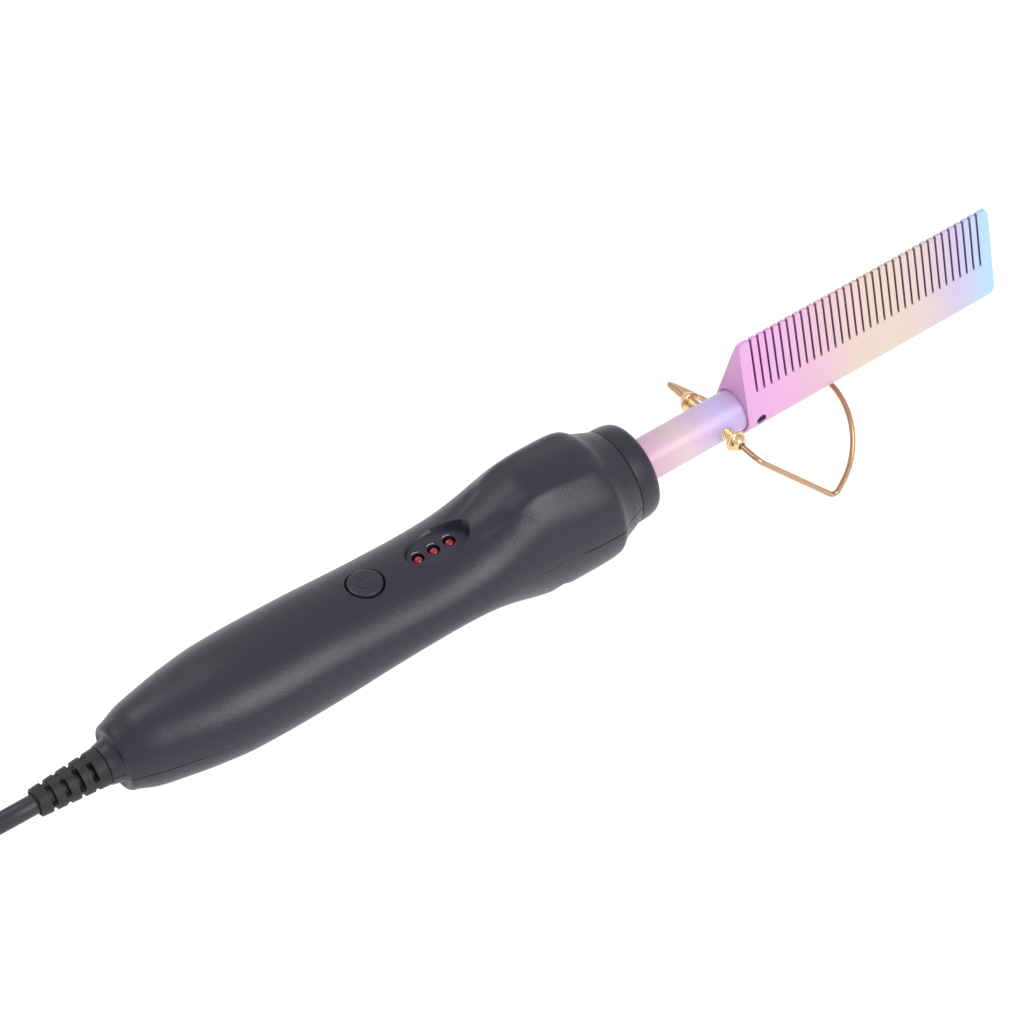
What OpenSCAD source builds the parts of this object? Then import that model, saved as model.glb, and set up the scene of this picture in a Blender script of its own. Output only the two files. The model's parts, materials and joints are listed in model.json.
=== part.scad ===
// Electric hot comb: a moulded handle with a power button and three
// temperature lights, a steel barrel, a heated metal comb, and a bent wire
// stand that swings on two brass screws.
//
// The tool is drawn along X, from the rear end of the handle at x = 0 to the
// tip of the comb, with the teeth up and the axis of the barrel on y = z = 0.
// seated() then tips it so that it rests on the belly of the handle and on
// the two corners of the wire stand, with the table at z = 0.

/* [Handle] */
// Length from the rear end of the handle to the front face of its ring
handle_l = 169; // [150:1:205]
// Diameter of the rear end
rear_d = 18; // [16:0.5:21]
// Width of the belly
belly_w = 34.8; // [30:0.2:41]
// Height of the belly
belly_h = 29.2; // [25:0.2:34]
// Distance from the rear end to the fullest part of the belly
belly_x = 44; // [36:1:54]
// Width of the waist, under the button
waist_w = 33.4; // [29:0.2:40]
// Height of the waist
waist_h = 24.4; // [21:0.2:29]
// Width of the bulge in front of the lights
bulge_w = 37.2; // [34:0.2:44]
// Height of the bulge
bulge_h = 40.2; // [34:0.2:48]
// Diameter of the neck between the bulge and the ring
neck_d = 30.4; // [29:0.1:33]
// Diameter of the front ring
ring_d = 28.8; // [27:0.1:30]
// Length of the front ring
ring_l = 7.2; // [6:0.1:10]
// Wall of the two shells
shell_t = 2.2; // [1.8:0.1:2.6]
// Length of the stub neck behind the rear end
stub_l = 3.3; // [2.5:0.1:5]

/* [Button and lights] */
// Distance from the front face of the ring back to the button
button_back = 88.8; // [80:0.2:100]
// Diameter of the button's cap
button_d = 10; // [8.5:0.1:12]
// Gap all round the cap
button_gap = 0.35; // [0.2:0.05:0.5]
// Travel of the button
button_travel = 0.8; // [0.5:0.1:1.2]
// Distance from the front face of the ring back to the middle light
lights_back = 66.6; // [62:0.2:74]
// Spacing of the lights
light_pitch = 5.1; // [4.6:0.1:6.2]
// Diameter of each light
light_d = 3; // [2.5:0.1:3.6]
// Length of the recess round the lights
recess_l = 20.4; // [19:0.2:25]
// Width of the recess round the lights
recess_w = 12.4; // [10:0.2:15]
// Depth of the recess's floor below the top of the waist
recess_drop = 1.1; // [0.7:0.1:1.3]

/* [Barrel and comb] */
// Outer diameter of the barrel tube
tube_d = 12.7; // [11:0.1:15]
// Wall of the barrel tube
tube_t = 1; // [0.8:0.1:1.2]
// Length of the barrel between the ring and the comb
barrel_l = 36; // [30:0.5:44]
// Length of the comb head
comb_l = 91.5; // [76:0.5:110]
// Wall of the comb head round the barrel
comb_t = 1; // [0.8:0.1:1.6]
// Height of the tooth tips over the axis of the barrel
tooth_z = 26.4; // [22:0.2:32]
// Thickness of a tooth at its tip
tip_w = 1.8; // [1.4:0.1:2.4]
// Thickness of a tooth where its tip bevel starts
tooth_w = 3.8; // [3:0.1:4.8]
// Height of the bevel at the tooth tips
bevel_h = 2; // [1.2:0.1:3]
// Height of the bottom of the slots over the axis
slot_z = 8.2; // [7.6:0.1:10]
// Length of the solid tip in front of the last slot
tip_land = 3.6; // [3:0.1:5]
// Spacing of the slots
slot_pitch = 2.6; // [2.2:0.05:3.2]
// Width of each slot
slot_w = 0.95; // [0.7:0.05:1.2]
// Distance from the comb's rear face to the first slot
slot_start = 4.6; // [4:0.1:6]
// Distance that the barrel goes into the comb
tube_in = 10; // [8:0.5:14]
// Radius of the comb's rounded corners
corner_r = 2.6; // [1.6:0.1:3.6]

/* [Wire stand] */
// Diameter of the wire
wire_d = 2; // [1.6:0.1:2.4]
// Distance from the ring's front face to the hinge of the stand
hinge_x = 28.7; // [25:0.1:32]
// Distance from the axis to the outer face of each screw's head
head_out = 13.1; // [12:0.1:15]
// Diameter of the screw heads
head_d = 6.4; // [5.6:0.1:7.6]
// Length of the screw heads
head_l = 3.2; // [2.6:0.1:3.8]
// Outer diameter of the screw thread
thread_d = 3.8; // [3.2:0.1:4.4]
// Distance from the middle to each leg of the stand, at its foot
foot_y = 22; // [20:0.5:26]
// Distance from the middle to each leg of the stand, at its bend
bend_y = 20.8; // [19:0.2:24]
// Distance forward from the hinge to the feet
foot_x = 26.8; // [22:0.2:30]
// Distance from the hinge down to the feet
foot_z = 29.7; // [25:0.2:35]
// Distance forward from the hinge to the middle of the front loop
loop_x = 41.5; // [36:0.2:48]

/* [Strain relief and cord] */
// Diameter of the cord
cord_d = 5.5; // [5:0.1:6.5]
// Length of the strain relief outside the handle
relief_l = 20; // [18:0.5:24]
// Diameter of the strain relief at the handle
relief_d = 10.9; // [10:0.1:11.2]
// Diameter of the strain relief at the cord
relief_end_d = 8; // [7.4:0.1:9]
// Width of the slots between the ribs of the strain relief
rib_gap = 1.35; // [1:0.05:1.6]
// Spacing of the ribs
rib_pitch = 4; // [3.6:0.1:4.4]

/* [Plug] */
// Length of the plug's body
plug_l = 34; // [28:1:40]
// Width of the plug's body
plug_w = 26; // [24:1:30]
// Thickness of the plug's body
plug_t = 13.6; // [12:0.2:16]
// Diameter of the plug's pins
pin_d = 4; // [3.8:0.1:4.8]
// Length of the plug's pins
pin_l = 19; // [17:0.5:20]
// Spacing of the plug's pins
pin_pitch = 18; // [16:0.5:19]

/* [Hidden] */

fine = 64;          // $fn of every exact round
eps = 0.01;         // overlap that makes two shapes of one piece meet
run_gap = 0.05;     // radial clearance of a fit or a hinge
seat_gap = 0.1;     // clearance of a piece dropped into its seat

// Stations of the handle's profile, from the rear end forward
waist_rear = handle_l - 79;
waist_front = handle_l - 68;
bulge_rear = handle_l - 32;
bulge_front = handle_l - 20;
shoulder_x = handle_l - 10.5;
seam_x = handle_l - ring_l;
edge_r = 1.5;       // rounding of the rear edge
ring_lip = 0.2;     // step out from the shells to the ring
nose_power = 2.4;   // how quickly the nose swells to the belly
arc_steps = 16;     // facets over half of the handle's section

// Places along the tool
button_x = handle_l - button_back;
lights_x = handle_l - lights_back;
comb_x = handle_l + barrel_l;
tip_x = comb_x + comb_l;
stand_x = handle_l + hinge_x;

function clamp01(u) = max(0, min(1, u));
function span(a, b, x) = clamp01((x - a) / (b - a));
function soft(u) = u * u * (3 - 2 * u);
function mix(a, b, u) = a + (b - a) * u;

// Half of the handle's width or height at x, from its values at the stations
function profile(x, rear, belly, waist, bulge) =
    x < belly_x ? belly - (belly - rear) * pow(1 - max(x, 0) / belly_x, nose_power)
    : x < waist_rear ? mix(belly, waist, soft(span(belly_x, waist_rear, x)))
    : x < waist_front ? waist
    : x < bulge_rear ? mix(waist, bulge, soft(span(waist_front, bulge_rear, x)))
    : x < shoulder_x
        ? mix(neck_d / 2, bulge, cos(90 * pow(span(bulge_front, shoulder_x, x), 1.6)))
    : mix(neck_d / 2, ring_d / 2 - ring_lip, span(shoulder_x, seam_x, x));
function edge_cut(x) = x >= edge_r ? 0 : edge_r - sqrt(edge_r * edge_r - pow(edge_r - x, 2));
function half_w(x) = profile(x, rear_d / 2, belly_w / 2, waist_w / 2, bulge_w / 2) - edge_cut(x);
function half_h(x) = profile(x, rear_d / 2, belly_h / 2, waist_h / 2, bulge_h / 2) - edge_cut(x);
// Height of the handle's outer skin over the parting plane at (x, y)
function skin_z(x, y) = half_h(x) * sqrt(1 - pow(y / half_w(x), 2));

function unit(v) = v / norm(v);
// Points of a corner at b between a and c, rounded with radius r in n steps
function rounded(a, b, c, r, n) = let (u = unit(a - b), v = unit(c - b), half = acos(u * v) / 2,
    m = unit(u + v), o = b + r / sin(half) * m, w = unit(m - (m * u) * u))
    [for (i = [0:n]) let (t = (2 * i / n - 1) * (90 - half)) o - r * (cos(t) * m - sin(t)
        * unit(v - u))];

// One side of the stand's wire, from the hinge to the middle of the loop, at
// (forward of the hinge, out from the middle, up from the hinge)
wire_r = wire_d / 2;
wire_sides = 10;
wire_vertex_r = 1.06 * wire_r;
loop_gap = 0.15;    // between the loop and the underside of the comb
wire_hinge_y = head_out - 2.5;
wire_in_y = head_out + 2.6;
loop_end = [loop_x, 0, -(tube_d / 2 + comb_t + wire_r + loop_gap)];
wire_bend = [0, bend_y, 0];
wire_foot = [foot_x, foot_y, -foot_z];
loop_straight = 0.2;
function loop_point(s, y) = [mix(foot_x, loop_x, s), y, mix(-foot_z, loop_end[2], s)];
wire_side = concat([[0, wire_in_y, 0]],
    rounded([0, wire_in_y, 0], wire_bend, wire_foot, 4, 6),
    rounded(wire_bend, wire_foot, loop_point(loop_straight, foot_y), 2, 6),
    [for (i = [0:10]) let (a = 9 * i)
        loop_point(loop_straight + (1 - loop_straight) * sin(a), foot_y * cos(a))]);

// Angle that seats the tool: the belly and the feet of the stand touch z = 0
belly_steps = 40;
function belly_low(a) = min([for (i = [0:belly_steps])
    let (x = i * waist_rear / belly_steps) x * sin(a) - half_h(x) * cos(a)]);
function foot_low(a) = min([for (p = wire_side) (stand_x + p[0]) * sin(a) + p[2] * cos(a)])
    - wire_vertex_r;
function seat_angle(lo, hi, n) = let (a = (lo + hi) / 2) n == 0 ? a
    : foot_low(a) < belly_low(a) ? seat_angle(a, hi, n - 1) : seat_angle(lo, a, n - 1);
tilt = seat_angle(0, 20, 30);
lift = -foot_low(tilt);
// Ends of the seated tool, whose middle is the origin
tool_back = -(stub_l + relief_l) * cos(tilt) - relief_end_d / 2 * sin(tilt);
tool_front = (tip_x - corner_r) * cos(tilt)
    + (tube_d / 2 + comb_t - corner_r) * sin(tilt) + corner_r;
origin_x = (tool_back + tool_front) / 2;
function seat(p) = [p[0] * cos(tilt) - p[2] * sin(tilt) - origin_x, p[1],
    p[0] * sin(tilt) + p[2] * cos(tilt) + lift];
module seated() {
    translate([-origin_x, 0, lift]) rotate([0, -tilt, 0]) children();
}

// A round bar along X from x0 to x1
module bar_x(x0, x1, r) {
    translate([x0, 0, 0]) rotate([0, 90, 0]) cylinder(h = x1 - x0, r = r, $fn = fine);
}
// A round bar along Z from z0 to z1
module bar_z(z0, z1, r) {
    translate([0, 0, z0]) cylinder(h = z1 - z0, r = r, $fn = fine);
}
// A turned piece along X, whose outline holds [x, radius] points
module turned_x(outline) {
    rotate([0, 90, 0]) rotate_extrude($fn = fine)
        polygon([for (p = outline) [p[1], p[0]]]);
}

// Faces of a tube of n rings with m points each, closed at both ends
function tube_faces(n, m) = concat(
    [[for (j = [0:m - 1]) j]],
    [for (i = [0:n - 2], j = [0:m - 1], k = [0:1]) let (q = (j + 1) % m,
        a = i * m + j, b = i * m + q, c = a + m, d = b + m) k == 0 ? [a, c, d] : [a, d, b]],
    [[for (j = [0:m - 1]) n * m - 1 - j]]);
function tangent(p, i) = unit(p[min(i + 1, len(p) - 1)] - p[max(i - 1, 0)]);
function across(v, t) = unit(v - (v * t) * t);
// A tube of radius r along the points p, its rings carried without a twist
module tube_along(p, r, sides, first) {
    n = len(p);
    t = [for (i = [0:n - 1]) tangent(p, i)];
    u = [for (i = 0, v = across(first, t[0]); i < n;
        i = i + 1, v = i < n ? across(v, t[i]) : v) v];
    points = [for (i = [0:n - 1]) let (w = cross(t[i], u[i])) for (j = [0:sides - 1])
        let (a = 360 * (j + 0.5) / sides) p[i] + r * (cos(a) * u[i] + sin(a) * w)];
    polyhedron(points, tube_faces(n, sides));
}

// ---- Handle shells -------------------------------------------------------

function stretch(a, b, n) = [for (i = [0:n - 1]) a + (b - a) * i / n];
shell_x = concat([0, 0.4, 0.9], stretch(edge_r, 13, 4), stretch(13, belly_x, 3),
    stretch(belly_x, waist_rear, 4), stretch(waist_rear, waist_front, 1),
    stretch(waist_front, bulge_rear, 7), stretch(bulge_rear, bulge_front, 1),
    stretch(bulge_front, shoulder_x, 6), [shoulder_x, seam_x]);

// The upper half of the handle's wall: a C section carried along the stations
module half_wall() {
    n = len(shell_x);
    m = 2 * (arc_steps + 1);
    points = [for (x = shell_x, j = [0:m - 1])
        let (outer = j <= arc_steps, t = outer ? 0 : shell_t,
            a = 180 * (outer ? j : m - 1 - j) / arc_steps)
        [x, (half_w(x) - t) * cos(a), (half_h(x) - t) * sin(a)]];
    sides = tube_faces(n, m);
    caps = [for (end = [0:1], j = [0:arc_steps - 1]) let (b = end * (n - 1) * m)
        end == 0 ? [b + j, b + j + 1, b + m - 2 - j, b + m - 1 - j]
            : [b + m - 1 - j, b + m - 2 - j, b + j + 1, b + j]];
    polyhedron(points, concat([for (i = [1:len(sides) - 2]) sides[i]], caps));
}
// The upper half of the handle as a solid that ends midway in the wall; it
// trims the posts and guides that stand on the wall
module half_core() {
    n = len(shell_x);
    m = arc_steps + 1;
    points = [for (x = shell_x, j = [0:m - 1]) let (a = 180 * j / arc_steps)
        [x, (half_w(x) - shell_t / 2) * cos(a), (half_h(x) - shell_t / 2) * sin(a)]];
    polyhedron(points, tube_faces(n, m));
}
// Half of the closed rear end and of the stub neck behind it
neck_r = 5.7;       // stub neck at its rear end
neck_root_r = 6.5;  // stub neck where it meets the rear end
relief_r = 4.4;     // strain relief inside the stub neck
module half_end() {
    intersection() {
        turned_x([[-stub_l, relief_r + seat_gap], [-stub_l, neck_r], [0, neck_root_r],
            [0.6, neck_root_r + 0.4], [0.6, rear_d / 2 - 1.2], [shell_t, rear_d / 2 - 0.6],
            [shell_t, relief_r + seat_gap]]);
        translate([-stub_l - 1, -rear_d, 0]) cube([stub_l + 2 + shell_t, 2 * rear_d, rear_d]);
    }
}

// Screws that join the shells, driven from below
screw_r = 1.25;
screw_head_r = 2.6;
screw_seat_z = -6;
screw_top_z = 6;
boss_r = 3.9;
shell_screw_places = [for (x = [34, handle_l - 35], s = [-1, 1])
    [x, s * (x < belly_x ? 10 : 12)]];

// Guide of the button in the upper shell, and its flange and travel above the switch
button_r = button_d / 2;
button_hole_r = button_r + button_gap;
button_top = half_h(button_x) + 0.1;
guide_r = button_hole_r + 1.3;
guide_z = half_h(button_x) - 3.9;
flange_t = 0.8;
flange_gap = 0.3;
flange_z = guide_z - flange_gap - flange_t;
switch_h = 3.5;
switch_gap = 0.7;

// Lights and board
board_t = 1.6;
board_top = flange_z - button_travel - switch_gap - switch_h;
board_z = board_top - board_t;
recess_z = waist_h / 2 - recess_drop;
recess_floor_t = 1.4;
board_w = 21;
board_x0 = button_x - 16;
board_x1 = lights_x + 20;
light_hole_r = light_d / 2 + 0.3;
light_places = [for (i = [-1:1]) lights_x + i * light_pitch];

// The lens-shaped recess round the lights, flat at its floor
recess_x = lights_x + 1.3;
module lens(z, rim) {
    translate([recess_x, 0, z]) linear_extrude(half_h(bulge_rear))
        polygon([for (i = [0:31]) let (a = i * 360 / 32)
            [(recess_l / 2 + rim) * cos(a), (recess_w / 2 + rim) * sin(a)]]);
}
// Clamps the bush at the neck, in both shells
module half_sleeve(x1) {
    intersection() {
        turned_x([[seam_x - 4, bush_r + seat_gap], [seam_x - 4, neck_d / 2 - 0.9],
            [x1, min(neck_d, ring_d) / 2 - 0.9], [x1, bush_r + seat_gap]]);
        translate([seam_x - 5, -ring_d, 0]) cube([7, 2 * ring_d, ring_d]);
    }
}
bush_r = 10.9;
bush_front = handle_l - 2.2;

module upper_shell() color("#3d3e47") seated() {
    difference() {
        union() {
            half_wall();
            half_end();
            half_sleeve(seam_x);
            intersection() {
                half_core();
                union() {
                    translate([button_x, 0, 0]) bar_z(guide_z, bulge_h, guide_r);
                    lens(recess_z - recess_floor_t, 1.4);
                    for (p = shell_screw_places) translate([p[0], p[1], 0])
                        bar_z(0, bulge_h, boss_r - 0.3);
                }
            }
        }
        translate([button_x, 0, 0]) bar_z(guide_z - 1, half_h(button_x) + 2, button_hole_r);
        lens(recess_z, 0);
        for (x = light_places) translate([x, 0, 0]) bar_z(board_top, recess_z + 1, light_hole_r);
        for (p = shell_screw_places) translate([p[0], p[1], 0])
            bar_z(-1, screw_top_z + 0.5, screw_r + run_gap);
    }
}

// Front ring, moulded whole with the lower shell, and its bore for the bush
module front_ring() {
    r = ring_d / 2;
    turned_x([[seam_x, bush_r + seat_gap], [seam_x, r], [handle_l - 2, r - 0.3],
        [handle_l - 0.8, r - 0.6], [handle_l - 0.2, r - 1.1], [handle_l, r - 1.7],
        [handle_l, tube_d / 2 + 0.4], [bush_front, tube_d / 2 + 0.4],
        [bush_front, bush_r + seat_gap]]);
    mirror([0, 0, 1]) half_sleeve(seam_x + 1);
}
clamp_x = 13.5;
clamp_y = 6.2;
clamp_w = 5;
clamp_t = 2.2;
clamp_post_r = 2.2;
clamp_screw_r = 1;
post_r = 1.8;
clamp_z = cord_d / 2 + 0.15;
board_posts = [for (x = [board_x0 + 3.5, board_x1 - 3.5], s = [-1, 1])
    [x, s * (board_w / 2 - 2.5)]];
module lower_shell() color("#3b3c44") seated() {
    difference() {
        union() {
            mirror([0, 0, 1]) half_wall();
            mirror([0, 0, 1]) half_end();
            front_ring();
            mirror([0, 0, 1]) intersection() {
                half_core();
                union() {
                    for (p = shell_screw_places) translate([p[0], p[1], 0])
                        bar_z(0, bulge_h, boss_r);
                    for (p = board_posts) translate([p[0], p[1], 0])
                        bar_z(max(0, -board_z), bulge_h, post_r);
                    for (s = [-1, 1]) translate([clamp_x, s * clamp_y, 0])
                        bar_z(0, bulge_h, clamp_post_r);
                    translate([clamp_x - clamp_w / 2, -2.5, cord_d / 2])
                        cube([clamp_w, 5, belly_h]);
                }
            }
            if (board_z > 0) for (p = board_posts) translate([p[0], p[1], 0])
                bar_z(-eps, board_z, post_r);
            for (s = [-1, 1]) translate([clamp_x, s * clamp_y, 0])
                bar_z(-eps, clamp_z, clamp_post_r);
        }
        for (p = shell_screw_places) translate([p[0], p[1], 0]) {
            bar_z(screw_seat_z - 1, 1, screw_r + 0.15);
            bar_z(-bulge_h, screw_seat_z, screw_head_r + 0.3);
        }
        for (s = [-1, 1]) translate([clamp_x, s * clamp_y, 0])
            bar_z(clamp_z - 6, clamp_z + 1, clamp_screw_r + run_gap);
    }
}
module shell_screws() color("#9a9c9f") seated() {
    for (p = shell_screw_places) translate([p[0], p[1], 0]) difference() {
        union() {
            bar_z(screw_seat_z, screw_top_z, screw_r);
            bar_z(screw_seat_z - 2, screw_seat_z, screw_head_r);
        }
        for (a = [0, 90]) rotate([0, 0, a])
            translate([-1.5, -0.35, screw_seat_z - 2.5]) cube([3, 0.7, 1.6]);
    }
}

// ---- Button, lights and board ---------------------------------------------

stem_z = flange_z - 0.2;
plunger_r = 1.7;
switch_floor = 0.15;
module power_button() color("#3f4046") seated() translate([button_x, 0, 0]) {
    bar_z(flange_z, flange_z + flange_t, guide_r);
    bar_z(flange_z + flange_t - eps, button_top - 0.5, button_r);
    bar_z(button_top - 0.5 - eps, button_top, button_r - 0.4);
    bar_z(stem_z, flange_z + eps, plunger_r - 0.1);
}
module switch_plunger() color("#1c1c1e") seated() translate([button_x, 0, 0])
    bar_z(board_top + 2 * switch_floor + button_travel, stem_z, plunger_r);
module tact_switch() color("#2a2a2c") seated() translate([button_x, 0, board_top]) difference() {
    translate([-3, -3, 0]) cube([6, 6, switch_h]);
    bar_z(switch_floor, switch_h + 1, plunger_r + run_gap);
}
// A light: its flange, its domed lens and two legs down to the board
light_seat = 3;
module led(i) color("#b5141c") seated() translate([light_places[i], 0, board_top]) {
    top = recess_z + 0.25 - board_top - light_d / 2;
    bar_z(light_seat, light_seat + 1, light_d / 2 + 0.4);
    bar_z(light_seat + 1 - eps, top, light_d / 2);
    translate([0, 0, top]) sphere(d = light_d, $fn = fine);
    for (s = [-1, 1]) translate([-0.25, s * 0.9 - 0.25, 0]) cube([0.5, 0.5, light_seat + eps]);
}
module led_low() led(0);
module led_medium() led(1);
module led_high() led(2);
module circuit_board() color("#2f6b3a") seated()
    translate([board_x0, -board_w / 2, board_z]) cube([board_x1 - board_x0, board_w, board_t]);
module on_board(x, y, size) {
    translate([x, y - size[1] / 2, board_top]) cube(size);
}
module under_board(x, y, size) {
    translate([x, y - size[1] / 2, board_z - size[2]]) cube(size);
}
module control_chip() color("#1d1e20") seated() on_board(button_x + 7, 4.5, [5, 4, 1.5]);
module triac() color("#242527") seated() on_board(board_x1 - 12, -4, [10, 7, 3]);
module film_capacitor() color("#b8862e") seated() under_board(board_x1 - 18, 4, [13, 6, 7.5]);
module dropper_resistor() color("#c9b48a") seated() translate([0, -5, board_z - 1.8])
    bar_x(board_x0 + 10, board_x0 + 20, 1.8);
module fuse_link() color("#d9d2c0") seated() translate([0, 5, board_z - 1.6])
    bar_x(board_x0 + 10, board_x0 + 20, 1.6);

// ---- Wiring inside the handle ----------------------------------------------

relief_in = shell_t + 1.9;
cord_in = 20;
lead_y = 1.5;
lead_z = board_z + 0.7;
lead_r = 0.8;
tube_back = handle_l - 21;
heater_back = stand_x + 2.6;
fuse_x = [board_x1 + 4, board_x1 + 14];
module mains_wires() color("#6b4a2f") seated()
    for (s = [-1, 1]) translate([0, s * lead_y, lead_z]) bar_x(cord_in, board_x0, lead_r);
module heater_leads() color("#e8e4d8") seated() {
    translate([0, lead_y, lead_z]) bar_x(board_x1, heater_back, lead_r);
    translate([0, -lead_y, lead_z]) {
        bar_x(board_x1, fuse_x[0], lead_r);
        bar_x(fuse_x[1], heater_back, lead_r);
    }
}
module thermal_fuse() color("#c8cacb") seated()
    translate([0, -lead_y - 0.4, lead_z]) bar_x(fuse_x[0], fuse_x[1], 1.6);
module cord_inner() color("#26272a") seated() bar_x(relief_in, cord_in, cord_d / 2);
module cord_clamp() color("#d8d6cf") seated() difference() {
    w = 2 * (clamp_y + clamp_post_r);
    translate([clamp_x - clamp_w / 2, -w / 2, clamp_z]) cube([clamp_w, w, clamp_t]);
    for (s = [-1, 1]) translate([clamp_x, s * clamp_y, 0])
        bar_z(clamp_z - 1, clamp_z + clamp_t + 1, clamp_screw_r + run_gap);
}
module clamp_screws() color("#9a9c9f") seated()
    for (s = [-1, 1]) translate([clamp_x, s * clamp_y, clamp_z]) {
        bar_z(-5, clamp_t + eps, clamp_screw_r);
        bar_z(clamp_t, clamp_t + 1.2, 1.9);
    }

// ---- Strain relief -----------------------------------------------------------

relief_back = -stub_l - relief_l;
function relief_at(x) = mix(relief_d, relief_end_d, span(-stub_l, relief_back, x)) / 2;
module strain_relief() color("#2f3035") seated() {
    difference() {
        turned_x([[relief_back, 0], [relief_back, relief_end_d / 2 - 0.6],
            [relief_back + 0.6, relief_at(relief_back + 0.6)], [-stub_l - 0.5, relief_at(-stub_l - 0.5)],
            [-stub_l, relief_d / 2 - 0.4], [-stub_l, relief_r], [shell_t + seat_gap, relief_r],
            [shell_t + seat_gap, relief_r + 1.7], [relief_in, relief_r + 1.7], [relief_in, 0]]);
        for (row = [0:3]) for (quarter = [0:3])
            translate([-stub_l - 3.4 - row * rib_pitch, 0, 0])
                rotate([quarter * 90 + 45, 0, 0]) rotate([0, -90, 0])
                rotate([0, 0, row % 2 == 0 ? -32 : -41])
                rotate_extrude(angle = row % 2 == 0 ? 64 : 82, $fn = fine)
                    translate([cord_d / 2 + 0.3, 0]) square([relief_d, rib_gap]);
    }
}

// ---- Barrel and heater -------------------------------------------------------

tube_r = tube_d / 2;
bore_r = tube_r - tube_t;
tube_front = comb_x + tube_in;
tube_fit = 0.07;
thread_r = thread_d / 2;
grub_x = comb_x + slot_start;
grub_z = -1.1;
grub_r = 1.45;
heater_r = 3.2;
heater_front = tube_front + 53;
module side_holes(x, z, r) {
    translate([x, 0, z]) rotate([90, 0, 0])
        cylinder(h = 2 * tube_d, r = r, center = true, $fn = fine);
}
module near_hole(x, z, r) {
    translate([x, 0, z]) rotate([90, 0, 0]) cylinder(h = 2 * tube_d, r = r, $fn = fine);
}
module barrel_tube() color("#c9b3cf") seated() difference() {
    bar_x(tube_back, tube_front, tube_r);
    bar_x(tube_back - 1, tube_front + 1, bore_r);
    side_holes(stand_x, 0, thread_r + run_gap);
    near_hole(grub_x, grub_z, grub_r + run_gap);
}
bush_back = tube_back + 4;
clip_t = 1.6;
module tube_bush() color("#d9d4c6") seated() difference() {
    bar_x(bush_back, bush_front - seat_gap, bush_r);
    bar_x(bush_back - 1, bush_front + 1, tube_r + run_gap);
}
module retaining_clip() color("#a9abad") seated() difference() {
    bar_x(bush_back - 0.1 - clip_t, bush_back - 0.1, tube_r + 1.8);
    bar_x(bush_back - 1 - clip_t, bush_back + 1, tube_r + run_gap);
    translate([bush_back - 1 - clip_t, -1.5, 0]) cube([clip_t + 2, 3, tube_d]);
}
module heater_core() color("#e9e6df") seated()
    bar_x(heater_back, heater_front, heater_r);

// ---- Comb ----------------------------------------------------------------------

comb_r = tube_r + comb_t;
slots = floor((comb_l - slot_start - tip_land) / slot_pitch) + 1;
shoulder_z = tooth_z - bevel_h;
// Angle at which the flanks of the teeth leave the round back of the comb
flank_angle = asin(comb_r / norm([tooth_w / 2, shoulder_z])) - atan(tooth_w / 2 / shoulder_z);
comb_steps = 24;
// Section across the comb: a teardrop, round below and thin above
module comb_section() {
    right_side = concat(
        [for (i = [0:comb_steps]) let (a = mix(-90, flank_angle, i / comb_steps))
            [comb_r * cos(a), comb_r * sin(a)]],
        [[tooth_w / 2, shoulder_z], [tip_w / 2, tooth_z]]);
    last = len(right_side) - 1;
    polygon(concat(right_side, [for (i = [0:last - 1]) [-right_side[last - i][0], right_side[last - i][1]]]));
}
function corner(x, z, r, a0) = [for (i = [0:8]) let (a = a0 + i * 11.25) [x + r * cos(a), z + r * sin(a)]];
// Outline of the comb from the side, with its rounded corners
module comb_outline() {
    polygon(concat([[comb_x, -comb_r - 1]],
        [[tip_x - corner_r, -comb_r - 1]], corner(tip_x - corner_r, corner_r - comb_r, corner_r, -90),
        corner(tip_x - corner_r, tooth_z - corner_r, corner_r, 0),
        corner(comb_x + corner_r, tooth_z - corner_r, corner_r, 90)));
}
module comb_head() color("#d6b7d2") seated() difference() {
    intersection() {
        translate([comb_x, 0, 0]) rotate([90, 0, 90]) linear_extrude(comb_l) comb_section();
        translate([0, comb_r + 1, 0]) rotate([90, 0, 0]) linear_extrude(2 * comb_r + 2)
            comb_outline();
    }
    bar_x(comb_x - 1, tube_front + 0.5, tube_r + tube_fit);
    bar_x(tube_front, heater_front + 2, heater_r + run_gap);
    for (i = [0:slots - 1])
        translate([comb_x + slot_start + i * slot_pitch - slot_w / 2, -comb_r, slot_z])
            cube([slot_w, 2 * comb_r, tooth_z]);
    near_hole(grub_x, grub_z, grub_r + run_gap);
}
module comb_screw() color("#8f9093") seated() translate([grub_x, 0, grub_z]) difference() {
    translate([0, 0.5 - bore_r, 0]) rotate([90, 0, 0])
        cylinder(h = comb_r - bore_r - 0.2, r = grub_r, $fn = fine);
    translate([-2, -comb_r - 1, -0.3]) cube([4, 1.9, 0.6]);
}

// ---- Stand ---------------------------------------------------------------------

head_in = head_out - head_l;
head_r = head_d / 2;
thread_pitch = 0.8;
thread_depth = 0.3;
thread_turns = floor((head_in - tube_r - 0.3) / thread_pitch);
// A screw with a domed head, along +Y, bored from outside for the wire
module stand_screw() {
    translate([stand_x, 0, 0]) rotate([-90, 0, 0]) difference() {
        rotate_extrude($fn = fine) polygon(concat(
            [[0, bore_r - 1.2], [thread_r, bore_r - 1.2], [thread_r, head_in - thread_pitch * thread_turns]],
            [for (i = [1:thread_turns], k = [0:2])
                let (y = head_in - thread_pitch * (thread_turns - i + 1))
                [k == 1 ? thread_r - thread_depth : thread_r,
                    y + thread_pitch * [0.1, 0.5, 0.9][k]]],
            [[thread_r, head_in], [head_r - 0.3, head_in], [head_r, head_in + 0.3]],
            [for (i = [0:4]) let (a = i * 15)
                [head_r - 1.2 * (1 - cos(a)) , head_out - 1.2 + 1.2 * sin(a) / sin(60)]],
            [[0, head_out]]));
        translate([0, 0, wire_hinge_y - 0.3]) cylinder(h = head_l, r = wire_r + run_gap, $fn = fine);
    }
}
module stand_screw_left() color("#c8a24a") seated() stand_screw();
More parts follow.
